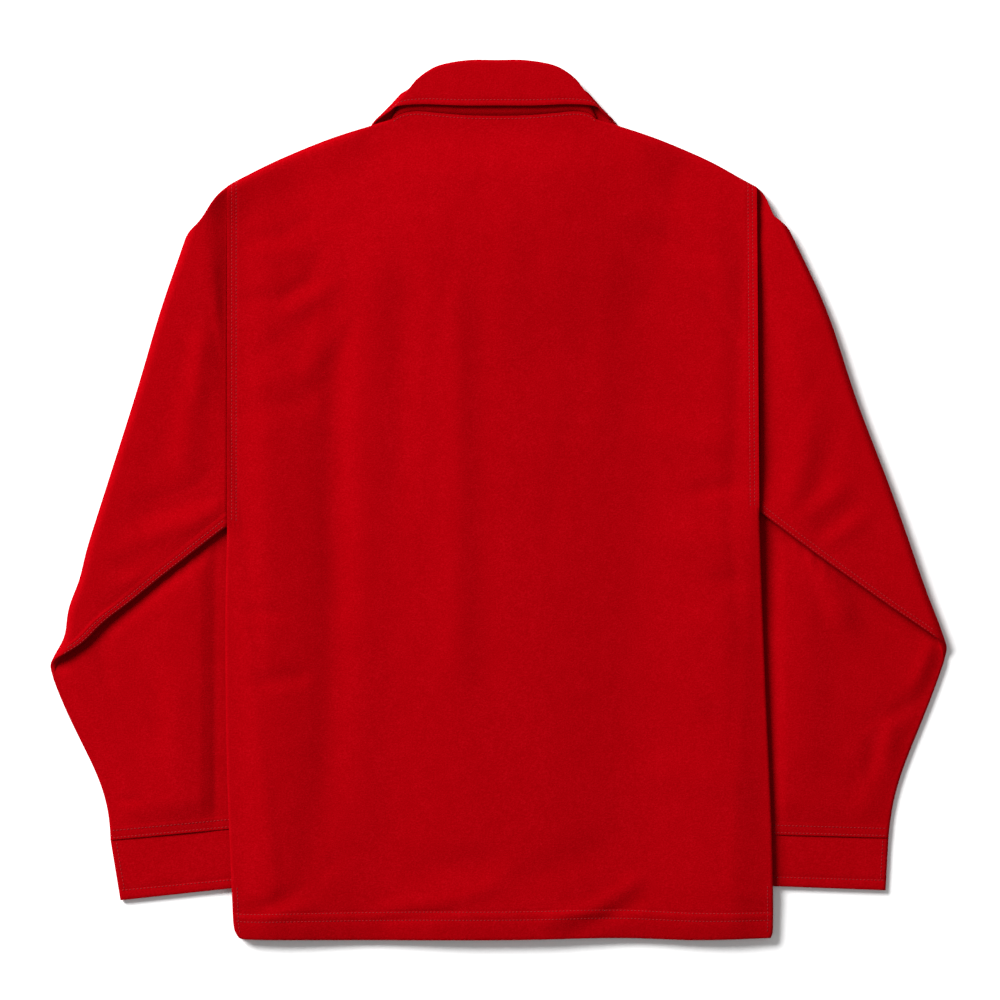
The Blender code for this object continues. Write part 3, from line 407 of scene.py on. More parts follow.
# Seams and stitching
ARMHOLE_TUCK = 1.2  # the sleeve goes on under the body's felled seam
CUFF_TUCK = 1.6  # and the cuff under the sleeve's
CUFF_ROUND = 0.5
CUFF_ROUND_WIDTH = 1.2
STITCH_PITCH = 3.4
STITCH_SPAN = 2.5  # length of one stitch that shows
THREAD = 0.55  # thread's thickness
GROOVE = 0.35  # a row of stitches presses the wool down this far
GROOVE_WIDTH = 1.3
ARMHOLE_ROWS = (4.4, 8.6)
HEM_ROWS = (17.4, 24.4)
UNDERARM_ROWS = (2.6, 8.4)
CUFF_SEAM_ROWS = (2.4, 9.2)
CUFF_EDGE_ROW = 9.5
CUFF_SIDE_ROW = 5.5
SIDE_HEM_ROW = 5.4
FRONT_ROW = 6.0
NECK_ROW = 2.5
COLLAR_ROW = 5.5
ROW_STEP = 0.9  # sections this far on both sides of a row give its groove a form
WRIST_INSET = 2.6  # a row along the cuff's seam stops this far inside the edges

# A stitch from end to end: share of its length, height off the cloth and share of its thickness
ThreadRing = namedtuple("ThreadRing", "at lift size")
THREAD_RINGS = (
    ThreadRing(0, -0.12, 0.35),
    ThreadRing(0.22, 0.16, 1),
    ThreadRing(0.78, 0.16, 1),
    ThreadRing(1, -0.12, 0.35),
)
THREAD_SIDES = 6

# How finely the shells are made
SLEEVE_ACROSS = 84
SLEEVE_DOWN = 46
FOREARM_DOWN = 64
FOLD_TURNS = 12
PANEL_STEP_X = 4.0
PANEL_STEP_Y = 4.2
SIDE_STEPS = (0, 0.3, 0.8, 1.6, HALF, 3.6, 4.4, 5.2, 6.4, 7.8, 8.6, 9.4, 10.8, 12.0, 13.0, 14.4)
HEM_STEPS = (0, 0.3, 0.8, 1.6, 3, 6, 10, 14, 16.6, 17.4, 18.2, 20, 22, 23.6, 24.4, 25.2, 26.4, 28)
TOP_STEPS = (0, 0.3, 0.8, 1.6, HALF, 4.0)
FOLD_STEPS = (0, 0.3, 0.8, 1.6, 3.0, 5.2, 6.0, 6.8, 58.0, LAP_TURN, LAP_TURN + BEVEL_STEP)
CUFF_DOWN = 18
NECK_COLUMNS = (90.0, 75.0, 48.0, 4.0)  # distances of the panels' columns from the collar's middle
COLLAR_STATIONS = 16  # stations between two rows of COLLAR
COLLAR_TURNS = 12
FALL_STEPS = (0, 0.01, 0.025, 0.05, 0.08, 0.105, 0.125, 0.145, 0.17, 0.21, 0.27)
FALL_STEPS += (0.35, 0.45, 0.55, 0.65, 0.75, 0.85, 0.95)  # shares from the fall's edge to its roll
STAND_DOWN = 6
EDGE_TURNS = (68, 45, 22, 0, -22, -45, -68)  # round a flattened tube's edge, in degrees


def smooth(t):
    """0 below 0, 1 above 1, and a soft step in between."""
    t = np.clip(t, 0.0, 1.0)
    return t * t * (3.0 - 2.0 * t)


def along(points, places):
    """Places on a smooth curve through points, read by number, so that 1.5 is between 1 and 2."""
    p = np.array(points, float)
    ends = np.vstack([2 * p[0] - p[1], p, 2 * p[-1] - p[-2]])
    span = np.minimum(places.astype(int), len(p) - 2)
    t = (places - span)[:, None]
    a, b, c, d = (ends[span + k] for k in range(4))
    return 0.5 * (
        2 * b + (c - a) * t + (2 * a - 5 * b + 4 * c - d) * t**2 + (3 * b - a - 3 * c + d) * t**3
    )


class Outline:
    """A curve through points, read by its share of length."""

    def __init__(self, points, soft=True):
        p = np.array(points, float)
        if soft and len(p) > 2:
            p = along(p, np.linspace(0, len(p) - 1, 12 * (len(p) - 1) + 1))
        self.points = p
        steps = np.linalg.norm(np.diff(self.points, axis=0), axis=1)
        self.lengths = np.concatenate([[0], np.cumsum(steps)])
        self.length = self.lengths[-1]

    def __call__(self, share):
        at = np.asarray(share, float) * self.length
        return np.stack([np.interp(at, self.lengths, axis) for axis in self.points.T], -1)


def joined(*outlines):
    """One outline that follows several in turn and keeps the corners between them."""
    return Outline(np.vstack([o.points for o in outlines]), soft=False)


def outside(x, y, corners):
    """Distance of places outside a convex shape, and 0 inside it."""
    c = np.array(corners, float)
    middle = c.mean(0)
    total = np.zeros(np.broadcast(x, y).shape)
    for a, b in zip(c, np.roll(c, -1, axis=0)):
        normal = np.array([b[1] - a[1], a[0] - b[0]])
        normal /= np.linalg.norm(normal)
        if np.dot(middle - a, normal) > 0:
            normal = -normal
        total += np.maximum((x - a[0]) * normal[0] + (y - a[1]) * normal[1], 0) ** 2
    return np.sqrt(total)


def fold_height(x, y, folds):
    """The highest ridge and the deepest trough of a table at places. Each fades beyond its ends."""
    high, low = np.zeros((2, *np.broadcast(x, y).shape))
    for f in folds:
        dx, dy = f.x1 - f.x0, f.y1 - f.y0
        length = math.hypot(dx, dy)
        along = ((x - f.x0) * dx + (y - f.y0) * dy) / length
        across = ((x - f.x0) * dy - (y - f.y0) * dx) / length
        beyond = np.maximum(np.maximum(-along, along - length), 0) / FOLD_ENDS
        height = f.height * np.exp(-((np.hypot(across, beyond) / f.half_width) ** 2))
        high, low = np.maximum(high, height), np.minimum(low, height)
    return high + low


def ramp(distance):
    """How much of a lift is left at a distance outside what lies below."""
    return 1 - smooth((distance - LIFT_FULL) / (LIFT_END - LIFT_FULL))


def forearm_corners(sleeve):
    return (sleeve.fold_top, sleeve.elbow, sleeve.cuff_out, sleeve.cuff_in)


def forearm_lift(x, y):
    """Height to which the two folded forearms hold what lies on them."""
    return LIFT * np.maximum(*(ramp(outside(x, y, forearm_corners(s))) for s in SLEEVES))


def body_lift(x, y):
    """Height of the body's lowest layer: over the forearms, over the collar, or 0."""
    collar = FALL_LIFT * ramp(outside(x, y, COLLAR_GROUND))
    return np.maximum(forearm_lift(x, y), collar)


def back_span(x, y):
    """Height to which the back is held as it spans softly from what lifts it."""
    reaches = [(LIFT, forearm_corners(s)) for s in SLEEVES] + [(FALL_LIFT, COLLAR_GROUND)]
    heights = []
    for lift, corners in reaches:
        away = np.maximum(outside(x, y, corners) - LIFT_FULL, 0)
        heights.append(lift * (1 - smooth(away / BACK_SPAN)))
    return np.maximum.reduce(heights)


def edge_round(distance, radius):
    """Share of its full height that a rounded edge has at a distance from the silhouette."""
    return np.sqrt(np.clip(1 - (1 - np.clip(distance / radius, 0, 1)) ** 2, 0, 1))


def band(distance, width):
    """1 within a raised band along an edge and 0 beyond it."""
    return np.clip((width - distance) / BEVEL_STEP, 0, 1)


def groove(distance, rows):
    """How far rows of stitches press the cloth down at a distance from its edge."""
    return sum(GROOVE * np.exp(-(((distance - row) / GROOVE_WIDTH) ** 2)) for row in rows)


def beside_rows(rows):
    """Places on and beside rows of stitches, where a shell needs sections."""
    return [row + step for row in rows for step in (-ROW_STEP, 0, ROW_STEP)]


def placed(name, data):
    """A new object in the scene."""
    obj = bpy.data.objects.new(name, data)
    bpy.context.scene.collection.objects.link(obj)
    return obj


def unit(v):
    return v / np.linalg.norm(v, axis=-1, keepdims=True)


def shell(name, rings, closed, finish):
    """A shell through closed rings of points. A tube's last ring joins its first. Otherwise each
    end is shut by a strip between the ring's first half and its second half."""
    rings = np.asarray(rings, float) * MM
    count, size = rings.shape[:2]
    points = rings.reshape(-1, 3)
    rows = count if closed else count - 1
    i, k = np.meshgrid(np.arange(rows), np.arange(size), indexing="ij")
    here, there = i * size, ((i + 1) % count) * size
    n = (k + 1) % size
    faces = np.stack([here + k, here + n, there + n, there + k], -1).reshape(-1, 4)
    if not closed:
        k = np.arange(size // 2 - 1)
        cap = np.stack([k, size - 1 - k, size - 2 - k, k + 1], -1)
        faces = np.vstack([faces, cap, cap[:, ::-1] + (count - 1) * size])
    a, b, c, d = (points[faces[:, n]] for n in range(4))
    volume = (a * np.cross(b, c)).sum() + (a * np.cross(c, d)).sum()
    if volume < 0:
        faces = faces[:, ::-1]
    mesh = bpy.data.meshes.new(name)
    mesh.vertices.add(len(points))
    mesh.vertices.foreach_set("co", points.ravel())
    mesh.loops.add(faces.size)
    mesh.loops.foreach_set("vertex_index", faces.ravel())
    mesh.polygons.add(len(faces))
    mesh.polygons.foreach_set("loop_start", np.arange(0, faces.size, 4))
    mesh.update(calc_edges=True)
    mesh.shade_smooth()
    mesh.materials.append(finish)
    return placed(name, mesh)


# Sleeves


class SleeveFrame:
    """Coordinates of one sleeve: p is the distance inside its fold, and q runs down the fold."""

    def __init__(self, sleeve):
        self.sleeve = sleeve
        self.start = np.array(sleeve.fold_top)
        fold = np.array(sleeve.elbow) - self.start
        self.length = np.linalg.norm(fold)
        self.down = fold / self.length
        self.inward = sleeve.inward * np.array([-self.down[1], self.down[0]])
        self.armhole = self.flat(sleeve.shoulder), self.flat(sleeve.underarm)

    def flat(self, place):
        """(p, q) of a plan place."""
        away = np.array(place) - self.start
        return np.array([away @ self.inward, away @ self.down])

    def from_armhole(self, p, q):
        """Distance of p and q from the armhole's line, towards the fold."""
        (p0, q0), (p1, q1) = self.armhole
        return ((q - q0) * (p1 - p0) - (p - p0) * (q1 - q0)) / math.hypot(p1 - p0, q1 - q0)

    def down_armhole(self, p, q):
        """Distance of p and q down the armhole's line from the shoulder, and the line's length."""
        (p0, q0), (p1, q1) = self.armhole
        run = math.hypot(p1 - p0, q1 - q0)
        return ((p - p0) * (p1 - p0) + (q - q0) * (q1 - q0)) / run, run

    def head_drop(self, p, q):
        """How far the sleeve's head comes down beside the upper end of the armhole."""
        below, _ = self.down_armhole(p, q)
        near = 1 - smooth(self.from_armhole(p, q) / HEAD_DROP_WIDTH)
        return HEAD_DROP * near * (1 - smooth(below / HEAD_DROP_LENGTH))

    def sink(self, p, q):
        """How far the sleeve lies down beside the middle of its armhole."""
        below, run = self.down_armhole(p, q)
        near = 1 - smooth((self.from_armhole(p, q) - SINK_FLAT) / SINK_WIDTH)
        ends = smooth(below / SINK_ENDS) * smooth((run - below) / SINK_ENDS)
        return ARMHOLE_SINK[self.sleeve.name] * near * ends

    def plan(self, p, q):
        """(x, y) of p and q, with the fold's line bowed as the cloth lies."""
        out = np.zeros_like(q)
        for b in self.sleeve.bulges:
            out = out + b.out * np.exp(-(((q / self.length - b.at) / b.half_width) ** 2))
        held = smooth(self.from_armhole(p, q) / ARMHOLE_HOLD)
        p = p - out * (1 - smooth((p - FOLD_DEPTH) / BULGE_DEPTH)) * held
        x = self.start[0] + p * self.inward[0] + q * self.down[0]
        y = self.start[1] + p * self.inward[1] + q * self.down[1]
        return x, y


def ring_profile(width, across, rows=()):
    """The section of a flattened tube, as four lists round it: distance across and height of the
    outer face, then of the inner face. It starts at the top line, on the upper wall."""
    share = np.linspace(0, 1, across)
    marks = [UNDERARM_BAND, UNDERARM_BAND + BEVEL_STEP, *beside_rows(rows)]
    share = np.sort(np.append(share, 1 - np.array(marks) / width))
    outer_flat = HALF + share * (width - 2 * HALF)
    inner_flat = np.clip(outer_flat, HALF, width - HALF)
    turn = np.radians(EDGE_TURNS)
    outer_turn = width - HALF + HALF * np.cos(turn)
    inner_turn = width - HALF + (HALF - CLOTH) * np.cos(turn)
    height = np.ones_like(share)
    return (
        np.concatenate([outer_flat, outer_turn, outer_flat[::-1], width - outer_turn]),
        HALF * np.concatenate([height, np.sin(turn), -height, -np.sin(turn)]),
        np.concatenate([inner_flat, inner_turn, inner_flat[::-1], width - inner_turn]),
        (HALF - CLOTH) * np.concatenate([height, np.sin(turn), -height, -np.sin(turn)]),
    )


def sleeve_stations(frame):
    """(start, end, kind, turn) of each section, from the armhole to the cuff, in p and q."""
    s = frame.sleeve
    top, under = frame.flat(s.shoulder), frame.flat(s.underarm)
    fold_top, elbow = np.array([FOLD_DEPTH, 0.0]), np.array([FOLD_DEPTH, frame.length])
    run_top, run_elbow = np.array([0, TOP_TURN]), np.array([0, ELBOW_TURN])
    stations = []
    for t in np.linspace(0, 1, SLEEVE_DOWN + 1):
        out = np.array([s.crown * math.sin(math.pi * t) * (1 - t), 0])
        start = top + (fold_top - run_top - top) * t - out
        end = under + (elbow - run_elbow - under) * t
        end = end + np.array([0, s.bow * math.sin(math.pi * t)])
        stations.append((start, end, "upper", 0.0))
    for share in np.linspace(-1, 1, FOLD_TURNS + 1)[1:-1]:
        turn = (share + 1) * math.pi / 2
        stations.append((fold_top + run_top * share, elbow + run_elbow * share, "fold", turn))
    fold_top, elbow = fold_top + run_top, elbow + run_elbow
    wrist_in, wrist_out = frame.flat(s.wrist_in), frame.flat(s.wrist_out)
    length = np.linalg.norm(wrist_out - elbow)
    marks = [0, CUFF_SEAM_BAND, CUFF_SEAM_BAND + BEVEL_STEP, *beside_rows(CUFF_SEAM_ROWS)]
    seam = 1 - (CUFF_SEAM_BAND + BEVEL_STEP) / length
    shares = np.append(np.linspace(0, seam, FOREARM_DOWN), 1 - np.array(marks) / length)
    shares = np.unique(shares)
    return stations + forearm_stations(s, shares, (fold_top, wrist_in), (elbow, wrist_out))


def forearm_stations(sleeve, shares, inner, outer):
    """Sections of the forearm. Both of its edges are bowed, and the last sections are level with
    the cuff."""
    lengths = [np.linalg.norm(edge[1] - edge[0]) for edge in (inner, outer)]
    aside = (outer[1] - outer[0])[::-1] * (1, -1) / lengths[1]
    stations = []
    for t in shares:
        even = smooth((1 - t) * lengths[1] / WRIST_EVEN)
        inner_t = 1 - (1 - t) * (even + (1 - even) * lengths[1] / lengths[0])
        start = inner[0] + (inner[1] - inner[0]) * inner_t
        start = start + np.array([FOREARM_BOW * math.sin(math.pi * inner_t), 0])
        end = outer[0] + (outer[1] - outer[0]) * t
        end = end + aside * sleeve.waist * math.sin(math.pi * t**1.8)
        stations.append((start, end, "forearm", 0.0))
    return stations


def sleeve_ring(frame, station, cuff_distance):
    """Outer and inner rings of one section, in x, y and z."""
    start, end, kind, turn = station
    width = np.linalg.norm(end - start)
    e = (end - start) / width
    profile = ring_profile(width, SLEEVE_ACROSS, UNDERARM_ROWS)
    rings = []
    for across, w, outer in ((*profile[:2], True), (*profile[2:], False)):
        p, q = start[0] + e[0] * across, start[1] + e[1] * across
        side = np.clip(w / HALF if outer else w / (HALF - CLOTH), -1, 1)
        if outer and kind == "upper":
            edge = width - across
            rise = SEAM_RISE * band(edge, UNDERARM_BAND) - groove(edge, UNDERARM_ROWS)
            w = w + rise * np.maximum(side, 0)
        if outer and kind == "forearm":
            rise = SEAM_RISE * band(cuff_distance, CUFF_SEAM_BAND)
            rise = rise - groove(cuff_distance, CUFF_SEAM_ROWS)
            w = w - rise * np.maximum(-side, 0)
        middle = np.minimum(across, width - across)
        rings.append(place_sleeve(frame, p, q, w, side, kind, turn, middle, width - across))
    return rings


def place_sleeve(frame, p, q, w, side, kind, turn, middle, from_underarm):
    """World places of a sleeve's points. w is the height off the middle of the flattened tube."""
    name = frame.sleeve.name
    if kind == "fold":
        x, y = frame.plan(FOLD_DEPTH - (ROLL + w) * math.sin(turn), q)
        return np.stack([x, y, ROLL + HALF + (ROLL + w) * math.cos(turn)], -1)
    x, y = frame.plan(p, q)
    rise = smooth(middle / CALM_EDGE)
    if kind == "forearm":
        shown = forearm_shown(frame, x, y)
        folds = fold_height(x, y, FOREARM_FOLDS[name])
        puff = FOREARM_PUFF * smooth((shown - PUFF_CLEAR) / FOREARM_MARGIN)
        puff = puff + folds * smooth((shown - FOLD_CLEAR) / FOREARM_FOLD_MARGIN)
        flat = WRIST_FLAT + (1 - WRIST_FLAT) * smooth(above_wrist(frame, x, y) / WRIST_FADE)
        puff = np.maximum(puff, 0) * rise * flat
        return np.stack([x, y, HALF - w + puff * (side < 0)], -1)
    near = 1 - smooth((p - FOLD_DEPTH) / ROLL_FADE)
    rest = forearm_lift(x, y)
    from_armhole = frame.from_armhole(p, q)
    lifted = UNDERARM_RISE[name] * (1 - smooth(from_underarm / UNDERARM_FADE))
    rest = rest * (1 + lifted * smooth(from_armhole / SINK_WIDTH) / LIFT)
    level = rest * (1 - near) + 2 * ROLL * near - frame.head_drop(p, q) - frame.sink(p, q)
    puff = SLEEVE_PUFF[name] * smooth(from_armhole / ARMHOLE_HOLD)
    puff = puff + fold_height(x, y, SLEEVE_FOLDS[name]) * smooth(from_armhole / FOLD_HOLD)
    puff = np.maximum(puff, 0) * rise * (1 - near)
    return np.stack([x, y, HALF + level + w + puff * (side > 0)], -1)


def forearm_shown(frame, x, y):
    """Distance of places from whatever lies over the forearm: the upper sleeve or the body."""
    s = frame.sleeve
    edge = unit(np.array(s.elbow) - np.array(s.underarm))
    below = s.inward * ((y - s.underarm[1]) * edge[0] - (x - s.underarm[0]) * edge[1])
    beside = s.inward * (s.underarm[0] - x) - BODY_OVER
    return np.minimum(below, beside)


def above_wrist(frame, x, y):
    """Distance of places from the line where the sleeve meets its cuff."""
    start, end = np.array(frame.sleeve.wrist_in), np.array(frame.sleeve.wrist_out)
    run = unit(end - start)
    return np.abs((x - start[0]) * run[1] - (y - start[1]) * run[0])


def make_sleeve(sleeve, wool):
    frame = SleeveFrame(sleeve)
    stations = sleeve_stations(frame)
    wrist = np.linalg.norm(np.array(sleeve.wrist_out) - np.array(sleeve.elbow))
    outer, inner = [], []
    for station in stations:
        from_wrist = wrist
        if station[2] == "forearm":
            from_wrist = np.linalg.norm(station[1] - frame.flat(sleeve.wrist_out))
        rings = sleeve_ring(frame, station, from_wrist)
        outer.append(rings[0])
        inner.append(rings[1])
    shift = np.array([sleeve.inward * ARMHOLE_TUCK, 0, 0])
    outer[0] = outer[0] + shift
    inner[0] = inner[0] + shift
    return shell(f"wool_sleeve_{sleeve.name}", outer + inner[::-1], True, wool)


def make_cuff(sleeve, wool):
    """A flattened band, as thick as the sleeve that it is sewn to."""
    wrist = np.array([sleeve.wrist_in, sleeve.wrist_out])
    end = np.array([sleeve.cuff_in, sleeve.cuff_out])
    down = end - wrist
    length = np.linalg.norm(down, axis=1).mean()
    tuck = -CUFF_TUCK / np.linalg.norm(down, axis=1)[:, None]
    rows = (0.3, 0.9, *beside_rows((CUFF_EDGE_ROW,)))
    shares = np.append(np.linspace(0, 1, CUFF_DOWN + 1), 1 - np.array(rows) / length)
    outer, inner = [], []
    for t in np.unique(shares):
        start, stop = wrist + down * (tuck + (1 - tuck) * t)
        width = np.linalg.norm(stop - start)
        e = (stop - start) / width
        profile = ring_profile(width, SLEEVE_ACROSS)
        from_end = (1 - t) * length
        for across, w, rings in ((*profile[:2], outer), (*profile[2:], inner)):
            x, y = start[0] + e[0] * across, start[1] + e[1] * across
            if rings is outer:
                thin = CUFF_ROUND * (1 - smooth(from_end / CUFF_ROUND_WIDTH))
                thin = groove(from_end, (CUFF_EDGE_ROW,)) + thin
                w = w - np.sign(w) * np.minimum(thin, np.abs(w))
            rings.append(np.stack([x, y, HALF - w], -1))
    return shell(f"wool_cuff_{sleeve.name}", outer + inner[::-1], True, wool)


# Body panels

Panel = namedtuple("Panel", "name start end side neck")
WIDTH = HEM[-1].x - HEM[0].x
BACK_NECK = COLLAR[: NECK_CORNER + 1]
FRONT_NECK = COLLAR[NECK_CORNER:]


def share_of(hem_x):
    return (hem_x - HEM[0].x) / WIDTH


PANELS = (
    Panel("back", 0.0, 1.0, 0, BACK_NECK),
    Panel("front_left", 0.0, share_of(LAP_EDGE_LEFT), -1, FRONT_NECK),
    Panel("front_right", share_of(LAP_EDGE_RIGHT), 1.0, 1, FRONT_NECK),
)


def neck_place(section, side):
    """Where a panel's neck edge lies, beyond the collar's seam."""
    away = np.array([section.neck.out - section.fold.out, section.neck.y - section.fold.y])
    away = away * (STAND_SEAM / np.linalg.norm(away))
    return EdgePoint(section.middle + side * (section.neck.out + away[0]), section.neck.y + away[1])


def shoulder_tip(sleeve):
    return EdgePoint(sleeve.shoulder[0] + sleeve.inward * SEAM_GAP / 2, sleeve.shoulder[1])


def top_outline(panel):
    """A panel's shoulders and neck from left to right. A front's neck goes on level past the
    jacket's middle to its own front edge."""
    left = [neck_place(s, -1) for s in panel.neck]
    right = [neck_place(s, 1) for s in panel.neck]
    tips = [shoulder_tip(sleeve) for sleeve in SLEEVES]
    shoulder_left = Outline([tips[0], *LEFT_SHOULDER[1:], neck_place(COLLAR[NECK_CORNER], -1)])
    shoulder_right = Outline([neck_place(COLLAR[NECK_CORNER], 1), *RIGHT_SHOULDER[:-1], tips[1]])
    if not panel.side:
        return joined(shoulder_left, Outline(left[::-1] + right), shoulder_right).points
    if panel.side < 0:
        level = EdgePoint(tips[1].x, left[-1].y)
        return joined(shoulder_left, Outline(left, soft=False), Outline([left[-1], level])).points
    level = EdgePoint(tips[0].x, right[-1].y)
    neck = Outline(right[::-1], soft=False)
    return joined(Outline([level, right[-1]]), neck, shoulder_right).points


def side_outline(points, sleeve):
    """A side of the body from the hem up, with the armhole's edge above the underarm."""
    gap = sleeve.inward * SEAM_GAP / 2
    under = EdgePoint(sleeve.underarm[0] + gap, sleeve.underarm[1])
    return joined(Outline([*points[:-1], under]), Outline([under, shoulder_tip(sleeve)]))


SIDES = (side_outline(LEFT_SIDE, SLEEVES[0]), side_outline(RIGHT_SIDE, SLEEVES[1]))


def panel_plan(share, up, top):
    """Plan places of a panel's grid. share runs across from the left side, and up from the hem."""
    hem = Outline(HEM).points
    hem_x = HEM[0].x + WIDTH * share
    ends = SIDES[0](1.0), SIDES[1](1.0)
    top_x = ends[0][0] + (ends[1][0] - ends[0][0]) * share
    low_y, high_y = np.interp(hem_x, *hem.T), np.interp(top_x, *top.T)
    x = hem_x + (top_x - hem_x) * up
    y = low_y + (high_y - low_y) * up
    for side, inside in zip(SIDES, (share, 1 - share)):
        weight = 1 - smooth(inside / SIDE_SHARE)
        path = side(up)
        straight = side(0.0) + (side(1.0) - side(0.0)) * up[..., None]
        x = x + weight * (path - straight)[..., 0]
        y = y + weight * (path - straight)[..., 1]
    return x, y


def between(low, high, step):
    """Even places between two, neither included."""
    count = max(1, round((high - low) / step))
    return list(np.linspace(low, high, count + 1)[1:-1])


def top_share(x):
    low, high = SIDES[0](1.0)[0], SIDES[1](1.0)[0]
    return (x - low) / (high - low)


def corner_shares():
    """Shares across of the two corners where the shoulders meet the neck."""
    return [top_share(neck_place(COLLAR[NECK_CORNER], side).x) for side in (-1, 1)]


def panel_columns(panel):
    """Shares across of a panel's columns. Those of the fronts are also the back's."""
    side = np.array(SIDE_STEPS) / WIDTH
    middle = COLLAR[NECK_CORNER].middle
    neck = [top_share(middle + out) for n in NECK_COLUMNS for out in (n, -n)]
    marks = sorted([*side, *corner_shares(), *neck, *(1 - side)])
    columns = list(marks)
    for low, high in zip(marks, marks[1:]):
        columns += between(low, high, PANEL_STEP_X / WIDTH)
    columns = [c for c in columns if panel.start - 1e-9 <= c <= panel.end + 1e-9]
    if panel.side:
        edge, sign = (panel.end, -1) if panel.side < 0 else (panel.start, 1)
        steps = FOLD_STEPS if panel.side < 0 else FOLD_STEPS[:2]
        own = [edge + sign * step / WIDTH for step in steps]
        clear = 0.3 * PANEL_STEP_X / WIDTH
        columns = [c for c in columns if min(abs(c - o) for o in own) > clear] + own
    return np.unique(np.round(columns, 9))


def panel_rows():
    """Shares up from the hem of every panel's rows."""
    length = SIDES[0].length
    low = [step / length for step in HEM_STEPS]
    high = [1 - step / length for step in TOP_STEPS]
    return np.unique(low + between(low[-1], high[-1], PANEL_STEP_Y / length) + high)


def beside_armhole(sleeve, y):
    """1 beside a sleeve's armhole and 0 below the underarm."""
    return smooth((y - sleeve.underarm[1] + UNDERARM_STEP / 2) / UNDERARM_STEP)


def crown(hem_x, y):
    """Share of the lap's height that the back has over the lapped fronts."""
    left = 1 - smooth((LAP_EDGE_RIGHT - CROWN_OVER[0] - hem_x) / BACK_RAMP)
    right = 1 - smooth((hem_x - LAP_EDGE_LEFT - CROWN_OVER[1]) / BACK_RAMP)
    low, high = CROWN_TOP
    return left * right * (1 - smooth((y - low) / (high - low)))


def lap_share(hem_x):
    """Share of the lap's height that the right front has beside the left front's edge."""
    return 1 - smooth((hem_x - LAP_EDGE_LEFT - LAP_OVER) / LAP_RAMP)


def make_panel(panel, wool):
    """A wall over the panel's grid, rounded into the side and shoulder seams."""
    share, up = np.meshgrid(panel_columns(panel), panel_rows())
    x, y = panel_plan(share, up, top_outline(panel))
    hem_x = HEM[0].x + WIDTH * share
    length = SIDES[0].length
    from_side = np.minimum(share, 1 - share) * WIDTH
    from_hem, from_top = up * length, (1 - up) * length
    armhole = np.where(share < 0.5, *(beside_armhole(s, y) for s in SLEEVES))
    corners = corner_shares()
    neck = (share > corners[0] - 1e-6) & (share < corners[1] + 1e-6)
    rounds = []
    for radius in (HALF, HALF - CLOTH):
        side = np.maximum(edge_round(from_side, radius), armhole)
        rounds.append(side * np.maximum(edge_round(from_top, radius), neck))
    outer = RIM + (HALF - RIM) * rounds[0]
    inner = SEAM_GAP / 2 + (HOLLOW - SEAM_GAP) / 2 * rounds[1]
    base = body_lift(x, y) + HALF
    stand = np.where(share < 0.5, *(np.interp(y, SIDE_STAND_AT, side) for side in SIDE_STAND))
    stand = stand * smooth(from_top / SIDE_STAND_WIDTH)
    stand_width = SIDE_STAND_WIDTH if panel.side else BACK_SPAN
    base = base + stand * (1 - smooth(from_side / stand_width))
    hem_seam = groove(from_hem, HEM_ROWS) * rounds[0]
    if panel.side:
        if panel.side > 0:
            base = base + LAP_LIFT * lap_share(hem_x)
        upper, lower = base - inner, base - outer + hem_seam
        if panel.side < 0:
            from_edge = (panel.end - share) * WIDTH
            upper = upper + (LAP_PLIES - CLOTH) * band(from_edge, LAP_TURN)
            lower = lower + seat_depth(x, y)
    else:
        base = np.maximum(base, back_span(x, y) + HALF)
        puffed = smooth(from_top / TOP_MARGIN) * smooth((from_hem + HEM_PUFF) / PUFF_MARGIN)
        puffed = puffed * smooth(from_side / PUFF_MARGIN)
        drape = np.maximum(BACK_PUFF + fold_height(x, y, BACK_FOLDS), BACK_LEAST)
        base = base + LAP_LIFT * crown(hem_x, y) + drape * puffed
        seam = ARMHOLE_RISE * (1 - smooth(from_side / ARMHOLE_FADE))
        seam = seam - groove(from_side, ARMHOLE_ROWS)
        beside_neck = np.abs(share - sum(corners) / 2) - (corners[1] - corners[0]) / 2
        shoulder = SHOULDER_RISE * (1 - smooth(from_top / SHOULDER_FADE))
        shoulder = shoulder * smooth(from_top / SHOULDER_START)
        shoulder = shoulder * smooth((beside_neck * WIDTH - NECK_CLEAR) / NECK_RAMP)
        upper = base + outer + seam * armhole + shoulder
        upper = upper + HEM_RISE * band(from_hem, HEM_BAND) * rounds[0] - hem_seam
        lower = base + inner
    upper -= HEM_ROUND * (1 - smooth(from_hem / HEM_ROUND_WIDTH))
    return panel_shell(f"wool_{panel.name}", x, y, upper, lower, wool)


def seat_depth(x, y):
    """How far the left front's underside is pressed in over the buttons."""
    depth = np.zeros_like(x)
    for place in button_places():
        away = np.hypot(x - place[0], y - place[1])
        reach = 1 - smooth((away - BUTTON_RADIUS - BUTTON_CLEAR - SEAT_EDGE) / SEAT_SLOPE)
        depth = np.maximum(depth, (BUTTON_SEAT + SEAT_SPARE) * reach)
    return depth


def panel_shell(name, x, y, upper, lower, wool):
    top = np.stack([x, y, upper], -1)
    bottom = np.stack([x, y, lower], -1)
    return shell(name, np.concatenate([top, bottom[:, ::-1]], axis=1), False, wool)


# Collar


def collar_stations():
    """Lean, roll, fold, edge and neck of each station round the neck, from left to right."""
    last = len(COLLAR) - 1
    places = np.linspace(0, 2 * last, 2 * last * COLLAR_STATIONS + 1)
    values = along([[s.lean, s.roll] for s in COLLAR[:0:-1] + COLLAR], places)
    curves = []
    for part in ("fold", "edge", "neck"):
        rows = []
        for side, sections in ((-1, COLLAR[:0:-1]), (1, COLLAR)):
            for s in sections:
                place = getattr(s, part)
                rows.append((s.middle + side * place.out, place.y, place.z))
        curves.append(along(rows, places))
    sides = np.sign(places - last)
    return np.radians(np.clip(values[:, 0], 0, 180)), values[:, 1], curves, sides


